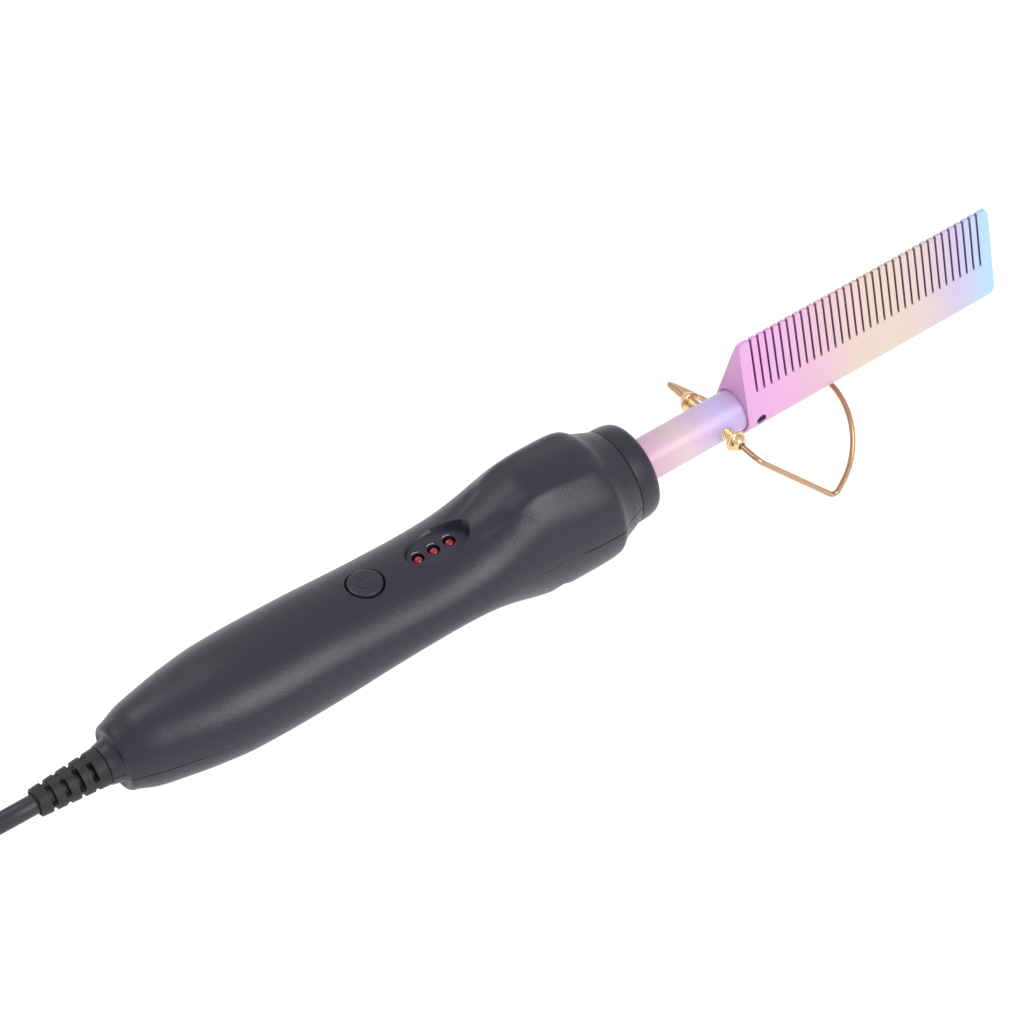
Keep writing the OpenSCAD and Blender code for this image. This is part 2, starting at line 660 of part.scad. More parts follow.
module stand_screw_right() color("#c8a24a") seated() mirror([0, 1, 0]) stand_screw();

// Both sides of the wire as one run of points, from the right hinge to the left
function mirror_y(p) = [p[0], -p[1], p[2]];
wire_run = concat([for (p = wire_side) mirror_y(p)],
    [for (i = [2:len(wire_side)]) wire_side[len(wire_side) - i]]);
module stand_wire() color("#a9824a") seated() translate([stand_x, 0, 0]) {
    tube_along(wire_run, wire_vertex_r, wire_sides, [0, 0, 1]);
    for (s = [-1, 1]) rotate([-90 * s, 0, 0]) translate([0, 0, wire_hinge_y])
        cylinder(h = wire_in_y - wire_hinge_y + 0.5, r = wire_r, $fn = fine);
}

// ---- Cord, hank and plug -------------------------------------------------------

// Points of the free cord, forward of the front end of the hank, chosen by hand
cord_r = cord_d / 2;
cord_exit = seat([relief_back, 0, 0]);
cord_dir = [-cos(tilt), 0, -sin(tilt)];
hank_front = -233.5;
lead_route = [[-174, 1.6, 7.4], [-184, 5.2, 5], [-194, 10.4, 3.4], [-204, 16, 2.8],
    [-214, 20.6, 2.75], [-223, 22.4, 2.75]];

// The hank: flat loops of two runs and two folds, piled in layers
hank_run = 107;
hank_layers = 4;
fold_out = 22.5;
fold_in = 16.5;
layer_step = 6;
waist_in = 12;
waist_lift = 1;
run_share = 0.25;
loop_rings = 24;
hank_x = hank_front - cord_d - hank_run / 2;
function hank_r(t) = let (k = floor(t), v = span(run_share, 1, t - k), odd = k % 2)
    odd == 0 ? mix(fold_out, fold_in, v) : mix(fold_in, fold_out, v);
function hank_z(t) = let (k = floor(t)) cord_r
    + layer_step * (k == 0 ? 0 : k - 1 + soft(span(0, run_share, t - k)));
function waist(x) = (1 + cos(360 * x / hank_run)) / 2;
function run_point(x, side, t) = [x, side * (hank_r(t) - waist_in * waist(x)),
    hank_z(t) + waist_lift * waist(x)];
function fold_point(side, a, t) = [-side * (hank_run / 2 + hank_r(t) * sin(a)),
    side * hank_r(t) * cos(a), hank_z(t)];
// Draws the points of a run closer together towards the tie
function closer(v) = sign(v) * pow(abs(v), 1.5);
function hank_point(t) = let (u = t - floor(t), half = hank_run / 2)
    u < run_share ? run_point(half * closer(1 - 2 * u / run_share), 1, t)
    : u < 0.5 ? fold_point(1, 180 * span(run_share, 0.5, u), t)
    : u < 0.5 + run_share ? run_point(half * closer(2 * (u - 0.5) / run_share - 1), -1, t)
    : fold_point(-1, 180 * span(0.5 + run_share, 1, u), t);

plug_x = -9;        // rear end of the plug, from the middle of the hank
plug_z = hank_z(hank_layers - 0.01) + cord_r + plug_t / 2 + 0.3;
// The cord leaves the last loop along its run and rises to the plug
hank_tail = [[41, 21.4, 21.8], [28, 15.6, 24.6], [15, 7, 28.4], [4, 1.2, 30.2],
    [-3.5, 0, 30.6], [plug_x, 0, plug_z]];
function hank_course(steps) = concat([hank_point(0) + [cord_d, 0, 0]],
    [for (i = [0:hank_layers * steps - 1]) hank_point(i / steps)], hank_tail);
hank_points = [for (p = hank_course(loop_rings)) p + [hank_x, 0, 0]];
lead_points = concat([cord_exit, cord_exit + cord_d * cord_dir], lead_route,
    [[hank_front + cord_d, fold_out, cord_r], hank_points[0]]);

// Length of a run of points, and the least gap between parts of the cord that
// are further apart along it than a quarter of a loop
function run_length(p) = len(p) < 2 ? 0
    : [for (i = 1, s = norm(p[1] - p[0]); i < len(p);
        i = i + 1, s = i < len(p) ? s + norm(p[i] - p[i - 1]) : s) s][len(p) - 2];
gap_steps = 48;
gap_course = [for (p = hank_course(gap_steps)) p];
hank_gap = min([for (i = [0:len(gap_course) - 1], j = [i + gap_steps / 4:1:len(gap_course) - 1])
    norm(gap_course[i] - gap_course[j])]) - cord_d;
echo(tilt = tilt, lift = lift, origin_x = origin_x,
    cord_length = run_length(lead_points) + run_length(hank_course(gap_steps)), hank_gap = hank_gap,
    cord_exit = cord_exit);

cord_sides = 6;
module power_cord() color("#26272a") tube_along(lead_points, cord_r, 8, [0, 0, 1]);
module cord_hank() color("#26272a") tube_along(hank_points, cord_r, cord_sides, [0, 0, 1]);

tie_w = 10;
tie_t = 0.8;
tie_half = fold_out - waist_in + cord_r + 0.7;
tie_top = hank_z(hank_layers - 0.01) + waist_lift + cord_r + 0.3;
tie_corner = 3;
// Outline of the tie, inset by t from its outer face
module tie_outline(t) {
    r = tie_corner - t;
    polygon([for (c = [0:3], i = [0:6]) let (a = 90 * c + 15 * i)
        [(c == 0 || c == 3 ? 1 : -1) * (tie_half + tie_t - tie_corner) + r * cos(a),
        (c < 2 ? tie_top + tie_t - tie_corner : tie_corner) + r * sin(a)]]);
}
module hank_tie() color("#1f2022") translate([hank_x - tie_w / 2, 0, 0]) rotate([90, 0, 90])
    linear_extrude(tie_w) difference() {
        tie_outline(0);
        tie_outline(tie_t);
    }

plug_rear_w = 12;
pin_in = 8;
pin_step = 0.4;
module plug_body() color("#232427") translate([hank_x + plug_x, 0, plug_z]) rotate([0, 0, 180])
    difference() {
        intersection() {
            translate([0, 0, -plug_t / 2]) linear_extrude(plug_t)
                polygon([[0, -plug_rear_w / 2], [6, -plug_rear_w / 2], [14, 0.6 - plug_w / 2],
                    [16, -plug_w / 2], [plug_l - 1, -plug_w / 2], [plug_l, 1 - plug_w / 2],
                    [plug_l, plug_w / 2 - 1], [plug_l - 1, plug_w / 2], [16, plug_w / 2],
                    [14, plug_w / 2 - 0.6], [6, plug_rear_w / 2], [0, plug_rear_w / 2]]);
            rotate([90, 0, 0]) translate([0, 0, -plug_w / 2 - 1]) linear_extrude(plug_w + 2)
                polygon([[0, -cord_d], [6, -cord_d], [14, -plug_t / 2], [plug_l - 1, -plug_t / 2],
                    [plug_l, 1 - plug_t / 2], [plug_l, plug_t / 2 - 1], [plug_l - 1, plug_t / 2],
                    [14, plug_t / 2], [6, cord_d], [0, cord_d]]);
        }
        for (s = [-1, 1]) translate([0, s * pin_pitch / 2, 0])
            bar_x(plug_l - pin_in, plug_l + 1, pin_d / 2 - pin_step + run_gap);
    }
module plug_pins() color("#c5c7c9") translate([hank_x + plug_x, 0, plug_z]) rotate([0, 0, 180])
    for (s = [-1, 1]) translate([0, s * pin_pitch / 2, 0]) {
        bar_x(plug_l - pin_in, plug_l + eps, pin_d / 2 - pin_step);
        bar_x(plug_l, plug_l + pin_l - 1, pin_d / 2);
        translate([plug_l + pin_l - 1 - eps, 0, 0]) rotate([0, 90, 0])
            cylinder(h = 1 + eps, r1 = pin_d / 2, r2 = pin_d / 2 - 0.8, $fn = fine);
    }

upper_shell();
lower_shell();
shell_screws();
power_button();
switch_plunger();
tact_switch();
led_low();
led_medium();
led_high();
circuit_board();
control_chip();
triac();
film_capacitor();
dropper_resistor();
fuse_link();
mains_wires();
heater_leads();
thermal_fuse();
cord_clamp();
clamp_screws();
cord_inner();
strain_relief();
power_cord();
cord_hank();
hank_tie();
plug_body();
plug_pins();
barrel_tube();
tube_bush();
retaining_clip();
heater_core();
comb_head();
comb_screw();
stand_screw_left();
stand_screw_right();
stand_wire();
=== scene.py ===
import json

import bmesh
import bpy
import numpy as np
from mathutils import Matrix, Vector


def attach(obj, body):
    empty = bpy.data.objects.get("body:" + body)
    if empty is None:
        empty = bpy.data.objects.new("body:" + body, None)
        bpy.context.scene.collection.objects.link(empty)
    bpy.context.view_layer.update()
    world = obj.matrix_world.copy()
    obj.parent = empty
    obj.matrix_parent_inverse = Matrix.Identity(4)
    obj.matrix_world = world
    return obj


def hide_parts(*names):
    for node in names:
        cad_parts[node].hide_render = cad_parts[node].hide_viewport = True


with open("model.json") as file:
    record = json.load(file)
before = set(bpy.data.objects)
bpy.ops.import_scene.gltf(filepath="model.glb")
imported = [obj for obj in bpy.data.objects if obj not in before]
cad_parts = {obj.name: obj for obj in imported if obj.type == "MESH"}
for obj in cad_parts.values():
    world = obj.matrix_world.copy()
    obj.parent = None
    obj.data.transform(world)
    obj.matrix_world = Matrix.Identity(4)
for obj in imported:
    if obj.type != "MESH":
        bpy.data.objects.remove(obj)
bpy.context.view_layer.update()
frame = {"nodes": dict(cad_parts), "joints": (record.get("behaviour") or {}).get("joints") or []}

# ---- The tool's own axes -----------------------------------------------------
# The comb rests tipped nose-up on its belly and its wire stand. The button
# slides square to the barrel and the stand swings on the barrel's axis, so
# those two joints give the tool's axes. Sizes below are in millimetres: x from
# the handle's rear end towards the tip, y to the left, z towards the teeth.
joints = {joint["name"]: joint for joint in frame["joints"]}
up = -np.array(joints["button_press"]["axis"], float)
up /= np.linalg.norm(up)
forward = np.array([up[2], 0.0, -up[0]])
axes = np.array([forward, [0.0, 1.0, 0.0], up])
hinge = np.array(joints["stand_swing"]["pos_m"], float)
HINGE_X = 197.7


def seat(points):
    """Tool millimetres to metres in the frame: the hinge's place plus the axes times the sizes."""
    return hinge + (np.asarray(points, float) - [HINGE_X, 0.0, 0.0]) / 1000 @ axes


# ---- Camera ------------------------------------------------------------------
# A long studio lens, a little under a metre away on the button side and half
# way up. Its place and roll are given round a point on the handle's axis.
CAMERA_AIM = 148.0
CAMERA_AZIMUTH, CAMERA_ELEVATION, CAMERA_ROLL = np.radians([-32.583, 45.066, -4.922])
CAMERA_DISTANCE = 882.55
CAMERA_ASIDE, CAMERA_BELOW = 16.42, 3.02
LENS, SENSOR = 112.49, 36.0

sin_a, cos_a = np.sin(CAMERA_AZIMUTH), np.cos(CAMERA_AZIMUTH)
sin_e, cos_e = np.sin(CAMERA_ELEVATION), np.cos(CAMERA_ELEVATION)
sight = np.array([sin_a * cos_e, -cos_a * cos_e, sin_e])
level = np.array([cos_a, sin_a, 0.0])
upright = np.cross(sight, level)
across = level * np.cos(CAMERA_ROLL) + upright * np.sin(CAMERA_ROLL)
above = upright * np.cos(CAMERA_ROLL) - level * np.sin(CAMERA_ROLL)
camera_pose = np.eye(4)
camera_pose[:3, :3] = (np.array([across, above, sight]) @ axes).T
camera_pose[:3, 3] = seat([CAMERA_AIM, 0, 0] + sight * CAMERA_DISTANCE
                          - across * CAMERA_ASIDE - above * CAMERA_BELOW)

camera = bpy.data.objects.new("camera", bpy.data.cameras.new("camera"))
bpy.context.scene.collection.objects.link(camera)
camera.data.sensor_fit = "HORIZONTAL"
camera.data.sensor_width = SENSOR
camera.data.lens = LENS
camera.data.clip_start = 0.05
camera.matrix_world = Matrix(camera_pose.tolist())
bpy.context.scene.camera = camera

# ---- Cord and hank -----------------------------------------------------------
# A two-core mains lead in a smooth round PVC jacket, 5.5 mm thick. It leaves
# the strain relief, comes down to the table and is folded away as a tied hank
# of four flat loops, with the plug on top.
CORD_D = 5.5
CORD_R = CORD_D / 2
PATH_STEP, CORD_SIDES = 1.6, 20
RELIEF_BACK = -23.3
LEAD_ROUTE = [[-174, 1.6, 7.4], [-184, 5.2, 5], [-194, 10.4, 3.4], [-204, 16, 2.8],
              [-214, 20.6, 2.75], [-223, 22.4, 2.75]]
HANK_FRONT = -233.5
HANK_RUN, HANK_LAYERS, LOOP_STEPS = 107.0, 4, 48
FOLD_OUT, FOLD_IN = 22.5, 16.5
LAYER_STEP, WAIST_IN, WAIST_LIFT = 6.0, 12.0, 1.0
HANK_X = HANK_FRONT - CORD_D - HANK_RUN / 2
PLUG_BACK, PLUG_Z = -9.0, 30.6
HANK_TAIL = [[41, 21.4, 21.8], [28, 15.6, 24.6], [15, 7, 28.4], [4, 1.2, 30.2],
             [-3.5, 0, 30.6], [PLUG_BACK, 0, PLUG_Z]]


def ease(low, high, x):
    """0 below low, 1 above high and the smooth cubic step between them."""
    t = np.clip((np.asarray(x, float) - low) / (high - low), 0, 1)
    return t * t * (3 - 2 * t)


def hank_points(t):
    """Points of the hank, in mm round its middle, at loop count t.

    A loop is a run, a fold, a run and a fold. The folds are half circles, and their radius
    spirals in on even loops and out on odd ones. The runs are drawn in and lifted by a raised
    cosine at the tie. A loop climbs one layer along its first run.
    """
    loop = np.floor(t)
    u = t - loop
    spiral = np.clip((u - 0.25) / 0.75, 0, 1)
    spiral = np.where(loop % 2 == 0, spiral, 1 - spiral)
    r = FOLD_OUT + (FOLD_IN - FOLD_OUT) * spiral
    z = CORD_R + LAYER_STEP * np.where(loop == 0, 0, loop - 1 + ease(0, 0.25, u))
    half = HANK_RUN / 2
    side = np.where(u < 0.5, 1, -1)
    v = np.where(u < 0.5, u, u - 0.5)
    on_run = v < 0.25
    along = 1 - 2 * np.clip(v / 0.25, 0, 1)
    run_x = half * np.sign(along) * np.abs(along) ** 1.5 * side
    waist = (1 + np.cos(2 * np.pi * run_x / HANK_RUN)) / 2
    turn = np.pi * np.clip((v - 0.25) / 0.25, 0, 1)
    x = np.where(on_run, run_x, -side * (half + r * np.sin(turn)))
    y = side * np.where(on_run, r - WAIST_IN * waist, r * np.cos(turn))
    return np.stack([x, y, np.where(on_run, z + WAIST_LIFT * waist, z)], -1)


def evenly(points, step):
    """Points a step apart along a line of points."""
    along = np.concatenate([[0], np.cumsum(np.linalg.norm(np.diff(points, axis=0), axis=1))])
    even = np.linspace(0, along[-1], int(along[-1] / step) + 1)
    return np.stack([np.interp(even, along, points[:, k]) for k in range(3)], -1)


def smooth_path(points, step):
    """A path through points, about a step apart: Catmull-Rom cubics, spaced evenly by length."""
    p = np.concatenate([[2 * points[0] - points[1]], points, [2 * points[-1] - points[-2]]])
    t = np.linspace(0, 1, 12, endpoint=False)[None, :, None]
    a, b, c, d = (p[i:len(p) - 3 + i, None] for i in range(4))
    dense = 0.5 * (2 * b + (c - a) * t + (2 * a - 5 * b + 4 * c - d) * t ** 2
                   + (3 * b - a - 3 * c + d) * t ** 3)
    return evenly(np.concatenate([dense.reshape(-1, 3), points[-1:]]), step)


def sweep(path, radius, sides):
    """Grid of a round tube: circles of the radius, square to a path that never runs straight up."""
    run = np.gradient(path, axis=0)
    side = np.cross(run, [0, 0, 1])
    top = np.cross(side, run)
    side, top = (v / np.linalg.norm(v, axis=1)[:, None] for v in (side, top))
    turn = np.linspace(0, 2 * np.pi, sides, endpoint=False)[None, :, None]
    return path[:, None] + radius * (np.cos(turn) * side[:, None] + np.sin(turn) * top[:, None])


def skin(grid, closed_rows=False, closed_columns=True, caps=(False, False)):
    """Points and faces of a grid [row, column]: a quad between neighbours, and a cap on an end row."""
    index = np.arange(grid.shape[0] * grid.shape[1]).reshape(grid.shape[:2])
    wide = np.vstack([index, index[:1]]) if closed_rows else index
    wide = np.hstack([wide, wide[:, :1]]) if closed_columns else wide
    quads = np.stack([wide[:-1, :-1], wide[1:, :-1], wide[1:, 1:], wide[:-1, 1:]], -1)
    ends = [row for row, cap in ((index[:1], caps[0]), (index[-1:], caps[1])) if cap]
    return grid.reshape(-1, 3), [quads.reshape(-1, 4), *ends]


def make_piece(name, body, slot, material, *skins, sharp=35):
    """Welds skins into one closed object that rides on a body; edges over sharp degrees stay crisp."""
    starts = np.cumsum([0] + [len(points) for points, _ in skins])
    faces = [(block + start).tolist() for (_, blocks), start in zip(skins, starts) for block in blocks]
    mesh = bpy.data.meshes.new(name)
    mesh.from_pydata(np.concatenate([points for points, _ in skins]).tolist(), [], sum(faces, []))
    shape = bmesh.new()
    shape.from_mesh(mesh)
    bmesh.ops.remove_doubles(shape, verts=shape.verts, dist=1e-7)
    bmesh.ops.recalc_face_normals(shape, faces=shape.faces)
    shape.to_mesh(mesh)
    shape.free()
    mesh.shade_smooth()
    mesh.set_sharp_from_angle(angle=np.radians(sharp))
    mesh.materials.append(material)
    piece = bpy.data.objects.new(name, mesh)
    bpy.context.scene.collection.objects.link(piece)
    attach(piece, body)
    return piece


def hue(code):
    """A colour given as an sRGB hex value, as linear red, green, blue and alpha."""
    s = np.array([int(code[i:i + 2], 16) for i in (1, 3, 5)]) / 255
    linear = np.where(s <= 0.04045, s / 12.92, ((s + 0.055) / 1.055) ** 2.4)
    return (*linear.tolist(), 1.0)


def blank(name):
    """An empty material with its node tree."""
    material = bpy.data.materials.new(name)
    material.use_nodes = True
    material.node_tree.nodes.clear()
    return material, material.node_tree


def add(tree, kind, inputs=None, **settings):
    """Adds a node: first its settings, then its inputs. A socket is linked; anything else is set."""
    node = tree.nodes.new(kind)
    for name, value in settings.items():
        setattr(node, name, value)
    for name, value in (inputs or {}).items():
        if isinstance(value, bpy.types.NodeSocket):
            tree.links.new(value, node.inputs[name])
        else:
            node.inputs[name].default_value = value
    return node


GRAIN_DEPTH = 0.0002


def moulded(name, low, high, cloud, grain, relief, roughness, ior=1.5, metallic=0.0):
    """A material whose colour drifts between two tones under a fine grain. Cloud and grain are the
    scale and detail of their noises, and relief is the strength of the grain."""
    material, tree = blank(name)
    where = add(tree, "ShaderNodeTexCoord").outputs["Object"]
    drift = add(tree, "ShaderNodeTexNoise", {"Vector": where, "Scale": cloud[0], "Detail": cloud[1]})
    tint = add(tree, "ShaderNodeMix", {0: drift.outputs["Fac"], 6: hue(low), 7: hue(high)}, data_type="RGBA")
    pores = add(tree, "ShaderNodeTexNoise", {"Vector": where, "Scale": grain[0], "Detail": grain[1]})
    bump = add(tree, "ShaderNodeBump", {
        "Height": pores.outputs["Fac"], "Strength": relief, "Distance": GRAIN_DEPTH})
    finish = add(tree, "ShaderNodeBsdfPrincipled", {
        "Base Color": tint.outputs[2], "Roughness": roughness, "IOR": ior, "Metallic": metallic,
        "Normal": bump.outputs["Normal"]})
    add(tree, "ShaderNodeOutputMaterial", {"Surface": finish.outputs["BSDF"]})
    return material


# Satin PVC: nearly black, a little cloudy, with a fine extrusion grain
jacket = moulded("pvc_jacket", "#191922", "#20202a", (90.0, 3.0), (1600.0, 2.0), 0.15, 0.42, 1.53)

exit_point = seat([RELIEF_BACK, 0, 0]) * 1000
loops = hank_points(np.arange(0, HANK_LAYERS, 1 / LOOP_STEPS))
cord_points = np.concatenate([
    [exit_point, exit_point - CORD_D * forward], LEAD_ROUTE, [[HANK_FRONT, FOLD_OUT, CORD_R]],
    loops + [HANK_X, 0, 0], np.array(HANK_TAIL) + [HANK_X, 0, 0]])
cord_path = smooth_path(cord_points, PATH_STEP) / 1000
cord = make_piece("mains_cord", "main", "cord_jacket", jacket,
                  skin(sweep(cord_path, CORD_R / 1000, CORD_SIDES), caps=(True, True)))
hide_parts("power_cord", "cord_hank")

# ---- Tie -----------------------------------------------------------------------
# A soft black rubber strap round the waist of the hank, moulded as one band
# with a row of buttons on top that its own holes catch on.
TIE_W, TIE_T, TIE_HALF, TIE_TOP, TIE_CORNER = 10.0, 0.8, 14.75, 25.6, 3.0
STUD_R, STUD_H, STUD_NECK_R, STUD_EDGE = 1.6, 1.0, 1.1, 0.3

# Black rubber, dull, with a fine mould texture
rubber = moulded("tie_rubber", "#1c1d1f", "#1e1f21", (200.0, 2.0), (1400.0, 3.0), 0.3, 0.6)


def metres(points):
    """Millimetres measured in the frame itself, to metres."""
    return np.asarray(points, float) / 1000


def turned(profile, axis, middle=(0, 0, 0), steps=64, closed=False, to_frame=seat):
    """A profile of [along, radius] points turned about the line through middle along axis 0, 1 or 2."""
    along, radius = np.array(profile, float).T[:, :, None]
    turn = np.linspace(0, 2 * np.pi, steps, endpoint=False)
    ring = np.stack([along + 0 * turn, radius * np.cos(turn), radius * np.sin(turn)], -1)
    caps = (not closed, not closed)
    return skin(to_frame(np.roll(ring, axis, -1) + middle), closed_rows=closed, caps=caps)


# Round the band: four corners of a rounded rectangle; across it: a strap section
corner = np.repeat(np.arange(4), 9)
angle = np.radians(90 * corner + np.tile(np.linspace(0, 90, 9), 4))[:, None]
centre_y = np.where((corner == 0) | (corner == 3), 1, -1)[:, None] * (TIE_HALF - TIE_CORNER)
centre_z = np.where(corner < 2, TIE_TOP - TIE_CORNER, TIE_CORNER)[:, None]
depth = np.array([0.25, 0.05, 0, 0, 0.05, 0.25, TIE_T - 0.1, TIE_T, TIE_T, TIE_T - 0.1])
wide = np.array([-1, -0.97, -0.93, 0.93, 0.97, 1, 1, 0.97, -0.97, -1]) * TIE_W / 2
reach = TIE_CORNER - depth[None, :]
band = np.stack([HANK_X + wide[None, :] + 0 * angle, centre_y + reach * np.cos(angle),
                 centre_z + reach * np.sin(angle)], -1)
stud = [[TIE_TOP - 0.3, STUD_NECK_R], [TIE_TOP + 0.2, STUD_NECK_R], [TIE_TOP + 0.35, STUD_R],
        [TIE_TOP + STUD_H - STUD_EDGE, STUD_R - 0.1], [TIE_TOP + STUD_H, STUD_R - 0.7]]
tie = make_piece("hank_tie_strap", "main", "tie_rubber", rubber,
                 skin(metres(band), closed_rows=True),
                 *[turned(stud, 2, (HANK_X, y, 0), 24, to_frame=metres) for y in (-10, -6, -2)])
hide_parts("hank_tie")

# ---- Plug ------------------------------------------------------------------------
# A two-pin plug, moulded in soft PVC straight onto the cord, with finger ribs.
# Its round pins are nickel-plated brass with black sleeves next to the body.
PLUG_L, PLUG_EDGE, RIB_DEEP, RIB_W = 34.0, 0.9, 0.45, 0.55
PIN_PITCH, PIN_R, SLEEVE_L = 18.0, 2.0, 10.0
PLUG_X = HANK_X + PLUG_BACK


def through(x, knots):
    """A smooth curve through [x, y] knots that never overshoots: cubics with harmonic mean slopes."""
    knot_x, knot_y = np.array(knots, float).T
    width = np.diff(knot_x)
    chord = np.diff(knot_y) / width
    both = chord[:-1] * chord[1:]
    slope = np.zeros_like(knot_y)
    slope[1:-1] = np.where(both > 0, 2 * both / np.where(both > 0, chord[:-1] + chord[1:], 1), 0)
    slope[0], slope[-1] = chord[0], chord[-1]
    x = np.asarray(x, float)
    i = np.clip(np.searchsorted(knot_x, x, side="right") - 1, 0, len(width) - 1)
    t = (x - knot_x[i]) / width[i]
    return ((1 + 2 * t) * (1 - t) ** 2 * knot_y[i] + t * (1 - t) ** 2 * width[i] * slope[i]
            + t * t * (3 - 2 * t) * knot_y[i + 1] + t * t * (t - 1) * width[i] * slope[i + 1])


def metal(name, low, high, scale, detail, glossy, dull):
    """A metal whose colour and roughness vary together with fine marks."""
    material, tree = blank(name)
    where = add(tree, "ShaderNodeTexCoord").outputs["Object"]
    marks = add(tree, "ShaderNodeTexNoise", {"Vector": where, "Scale": scale, "Detail": detail})
    tint = add(tree, "ShaderNodeMix", {0: marks.outputs["Fac"], 6: hue(low), 7: hue(high)}, data_type="RGBA")
    gloss = add(tree, "ShaderNodeMapRange", {"Value": marks.outputs["Fac"], "To Min": glossy, "To Max": dull})
    finish = add(tree, "ShaderNodeBsdfPrincipled", {
        "Base Color": tint.outputs[2], "Metallic": 1.0, "Roughness": gloss.outputs["Result"]})
    add(tree, "ShaderNodeOutputMaterial", {"Surface": finish.outputs["BSDF"]})
    return material


# Black PVC, a little greyer than the cord, and bright nickel with faint turning marks
plug_pvc = moulded("plug_pvc", "#252629", "#27282b", (200.0, 2.0), (1200.0, 3.0), 0.25, 0.5)
nickel = metal("nickel_plate", "#c8c7c3", "#cac9c5", 900.0, 2.0, 0.18, 0.3)

back = np.concatenate([[0, 0.3], np.arange(1, 33, 0.5), [33, 33.4, 33.7, 33.9, PLUG_L]])
grooves = RIB_DEEP * sum(np.exp(-((back - x) / RIB_W) ** 2) for x in (18, 21, 24, 27, 30))
half_wide = through(back, [[0, 3.6], [1, 4.1], [6, 5.7], [10, 9.2], [15, 12.8], [18, 13], [34, 13]])
half_thick = through(back, [[0, 3.6], [1, 4.0], [6, 4.8], [12, 6.4], [16, 6.8], [34, 6.8]]) - grooves
edge = PLUG_EDGE - np.sqrt(PLUG_EDGE ** 2 - np.clip(back - PLUG_L + PLUG_EDGE, 0, PLUG_EDGE) ** 2)
power = 2 / through(back, [[0, 2], [6, 2.4], [14, 4], [34, 5]])[:, None]
turn = np.linspace(0, 2 * np.pi, 72, endpoint=False)[None, :]
cos_t, sin_t = np.cos(turn), np.sin(turn)
plug_grid = np.stack([
    PLUG_X - back[:, None] + 0 * turn,
    (half_wide - edge)[:, None] * np.sign(cos_t) * np.abs(cos_t) ** power,
    PLUG_Z + (half_thick - edge)[:, None] * np.sign(sin_t) * np.abs(sin_t) ** power], -1)
plug = make_piece("plug_moulding", "main", "plug_pvc", plug_pvc,
                  skin(metres(plug_grid), caps=(True, True)))
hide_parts("plug_body")

sleeve_end = PLUG_X - PLUG_L - SLEEVE_L
sleeve_in, sleeve_out = PIN_R - 0.06, PIN_R + 0.04
sleeve = [[PLUG_X - PLUG_L + 0.5, sleeve_in], [PLUG_X - PLUG_L + 0.5, sleeve_out],
          [sleeve_end, sleeve_out], [sleeve_end, sleeve_in]]
sleeves = make_piece(
    "pin_sleeves", "main", "plug_pvc", plug_pvc,
    *[turned(sleeve, 0, (0, s * PIN_PITCH / 2, PLUG_Z), 40, True, metres) for s in (-1, 1)])


def finish_nodes(material, *nodes):
    """Gives CAD nodes, whose own meshes stay, a material."""
    for name in nodes:
        frame["nodes"][name].data.materials.clear()
        frame["nodes"][name].data.materials.append(material)


finish_nodes(nickel, "plug_pins")

# ---- Strain relief -----------------------------------------------------------------
# A tapered sleeve of soft dark TPE over the cord. Four rows of four windows,
# each row turned from the last, let it bend. A flange inside the handle holds it.
STUB_L = 3.3
RELIEF_R, RELIEF_END_R, RELIEF_CORE_R, RELIEF_NECK_R = 5.45, 4.0, 3.05, 4.4
RIB_PITCH, WINDOW_W, FIRST_WINDOW = 4.0, 1.35, -7.38
MOUTH_R, MOUTH_DEEP = 3.25, 2.6
RELIEF_FLANGE_R, FLANGE_FROM, FLANGE_TO = 6.1, 2.3, 4.1
WINDOWS_FROM, WINDOWS_TO, WINDOW_EDGE = -21.0, -5.4, 0.09

# TPE: nearly black, dull, with a fine mould texture
tpe = moulded("relief_tpe", "#0f0e13", "#141318", (160.0, 3.0), (1800.0, 3.0), 0.3, 0.55)

mouth = np.array([[RELIEF_BACK + MOUTH_DEEP, MOUTH_R], [RELIEF_BACK + 0.25, MOUTH_R],
                  [RELIEF_BACK, MOUTH_R + 0.2], [RELIEF_BACK, RELIEF_END_R - 0.3],
                  [RELIEF_BACK + 0.1, RELIEF_END_R - 0.1]])
neck = np.array([[-STUB_L - 0.08, RELIEF_R - 0.1], [-STUB_L, RELIEF_R - 0.35],
                 [-STUB_L, RELIEF_NECK_R], [FLANGE_FROM, RELIEF_NECK_R], [FLANGE_FROM, RELIEF_FLANGE_R],
                 [FLANGE_TO, RELIEF_FLANGE_R], [FLANGE_TO, CORD_R + 0.1]])
sleeve_x = np.concatenate([np.linspace(RELIEF_BACK + 0.3, -21, 6), np.arange(-20.9, -5.4, 0.1),
                           np.linspace(-5.3, -STUB_L - 0.3, 6)])
sleeve_r = RELIEF_END_R + (RELIEF_R - RELIEF_END_R) * (sleeve_x - RELIEF_BACK) / (-STUB_L - RELIEF_BACK)
relief_x = np.concatenate([mouth[:, 0], sleeve_x, neck[:, 0]])[:, None]
relief_r = np.concatenate([mouth[:, 1], sleeve_r, neck[:, 1]])[:, None]
turn = np.linspace(0, 2 * np.pi, 240, endpoint=False)[None, :]
row = np.clip(np.round((FIRST_WINDOW - relief_x) / RIB_PITCH), 0, 3)
half_arc = np.radians(np.where(row % 2 == 0, 32, 42)) * relief_r - WINDOW_W / 2
off_middle = np.abs((turn % (np.pi / 2)) - np.pi / 4)
beyond = np.clip(off_middle * relief_r - half_arc, 0, None)
outside = np.hypot(relief_x - (FIRST_WINDOW - RIB_PITCH * row), beyond) - WINDOW_W / 2
on_sleeve = (relief_x < WINDOWS_TO) & (relief_x > WINDOWS_FROM)
window = np.where(on_sleeve, 1 - ease(-WINDOW_EDGE, WINDOW_EDGE, outside), 0)
radius = relief_r - (relief_r - RELIEF_CORE_R) * window
relief_grid = np.stack([relief_x + 0 * turn, radius * np.cos(turn), radius * np.sin(turn)], -1)
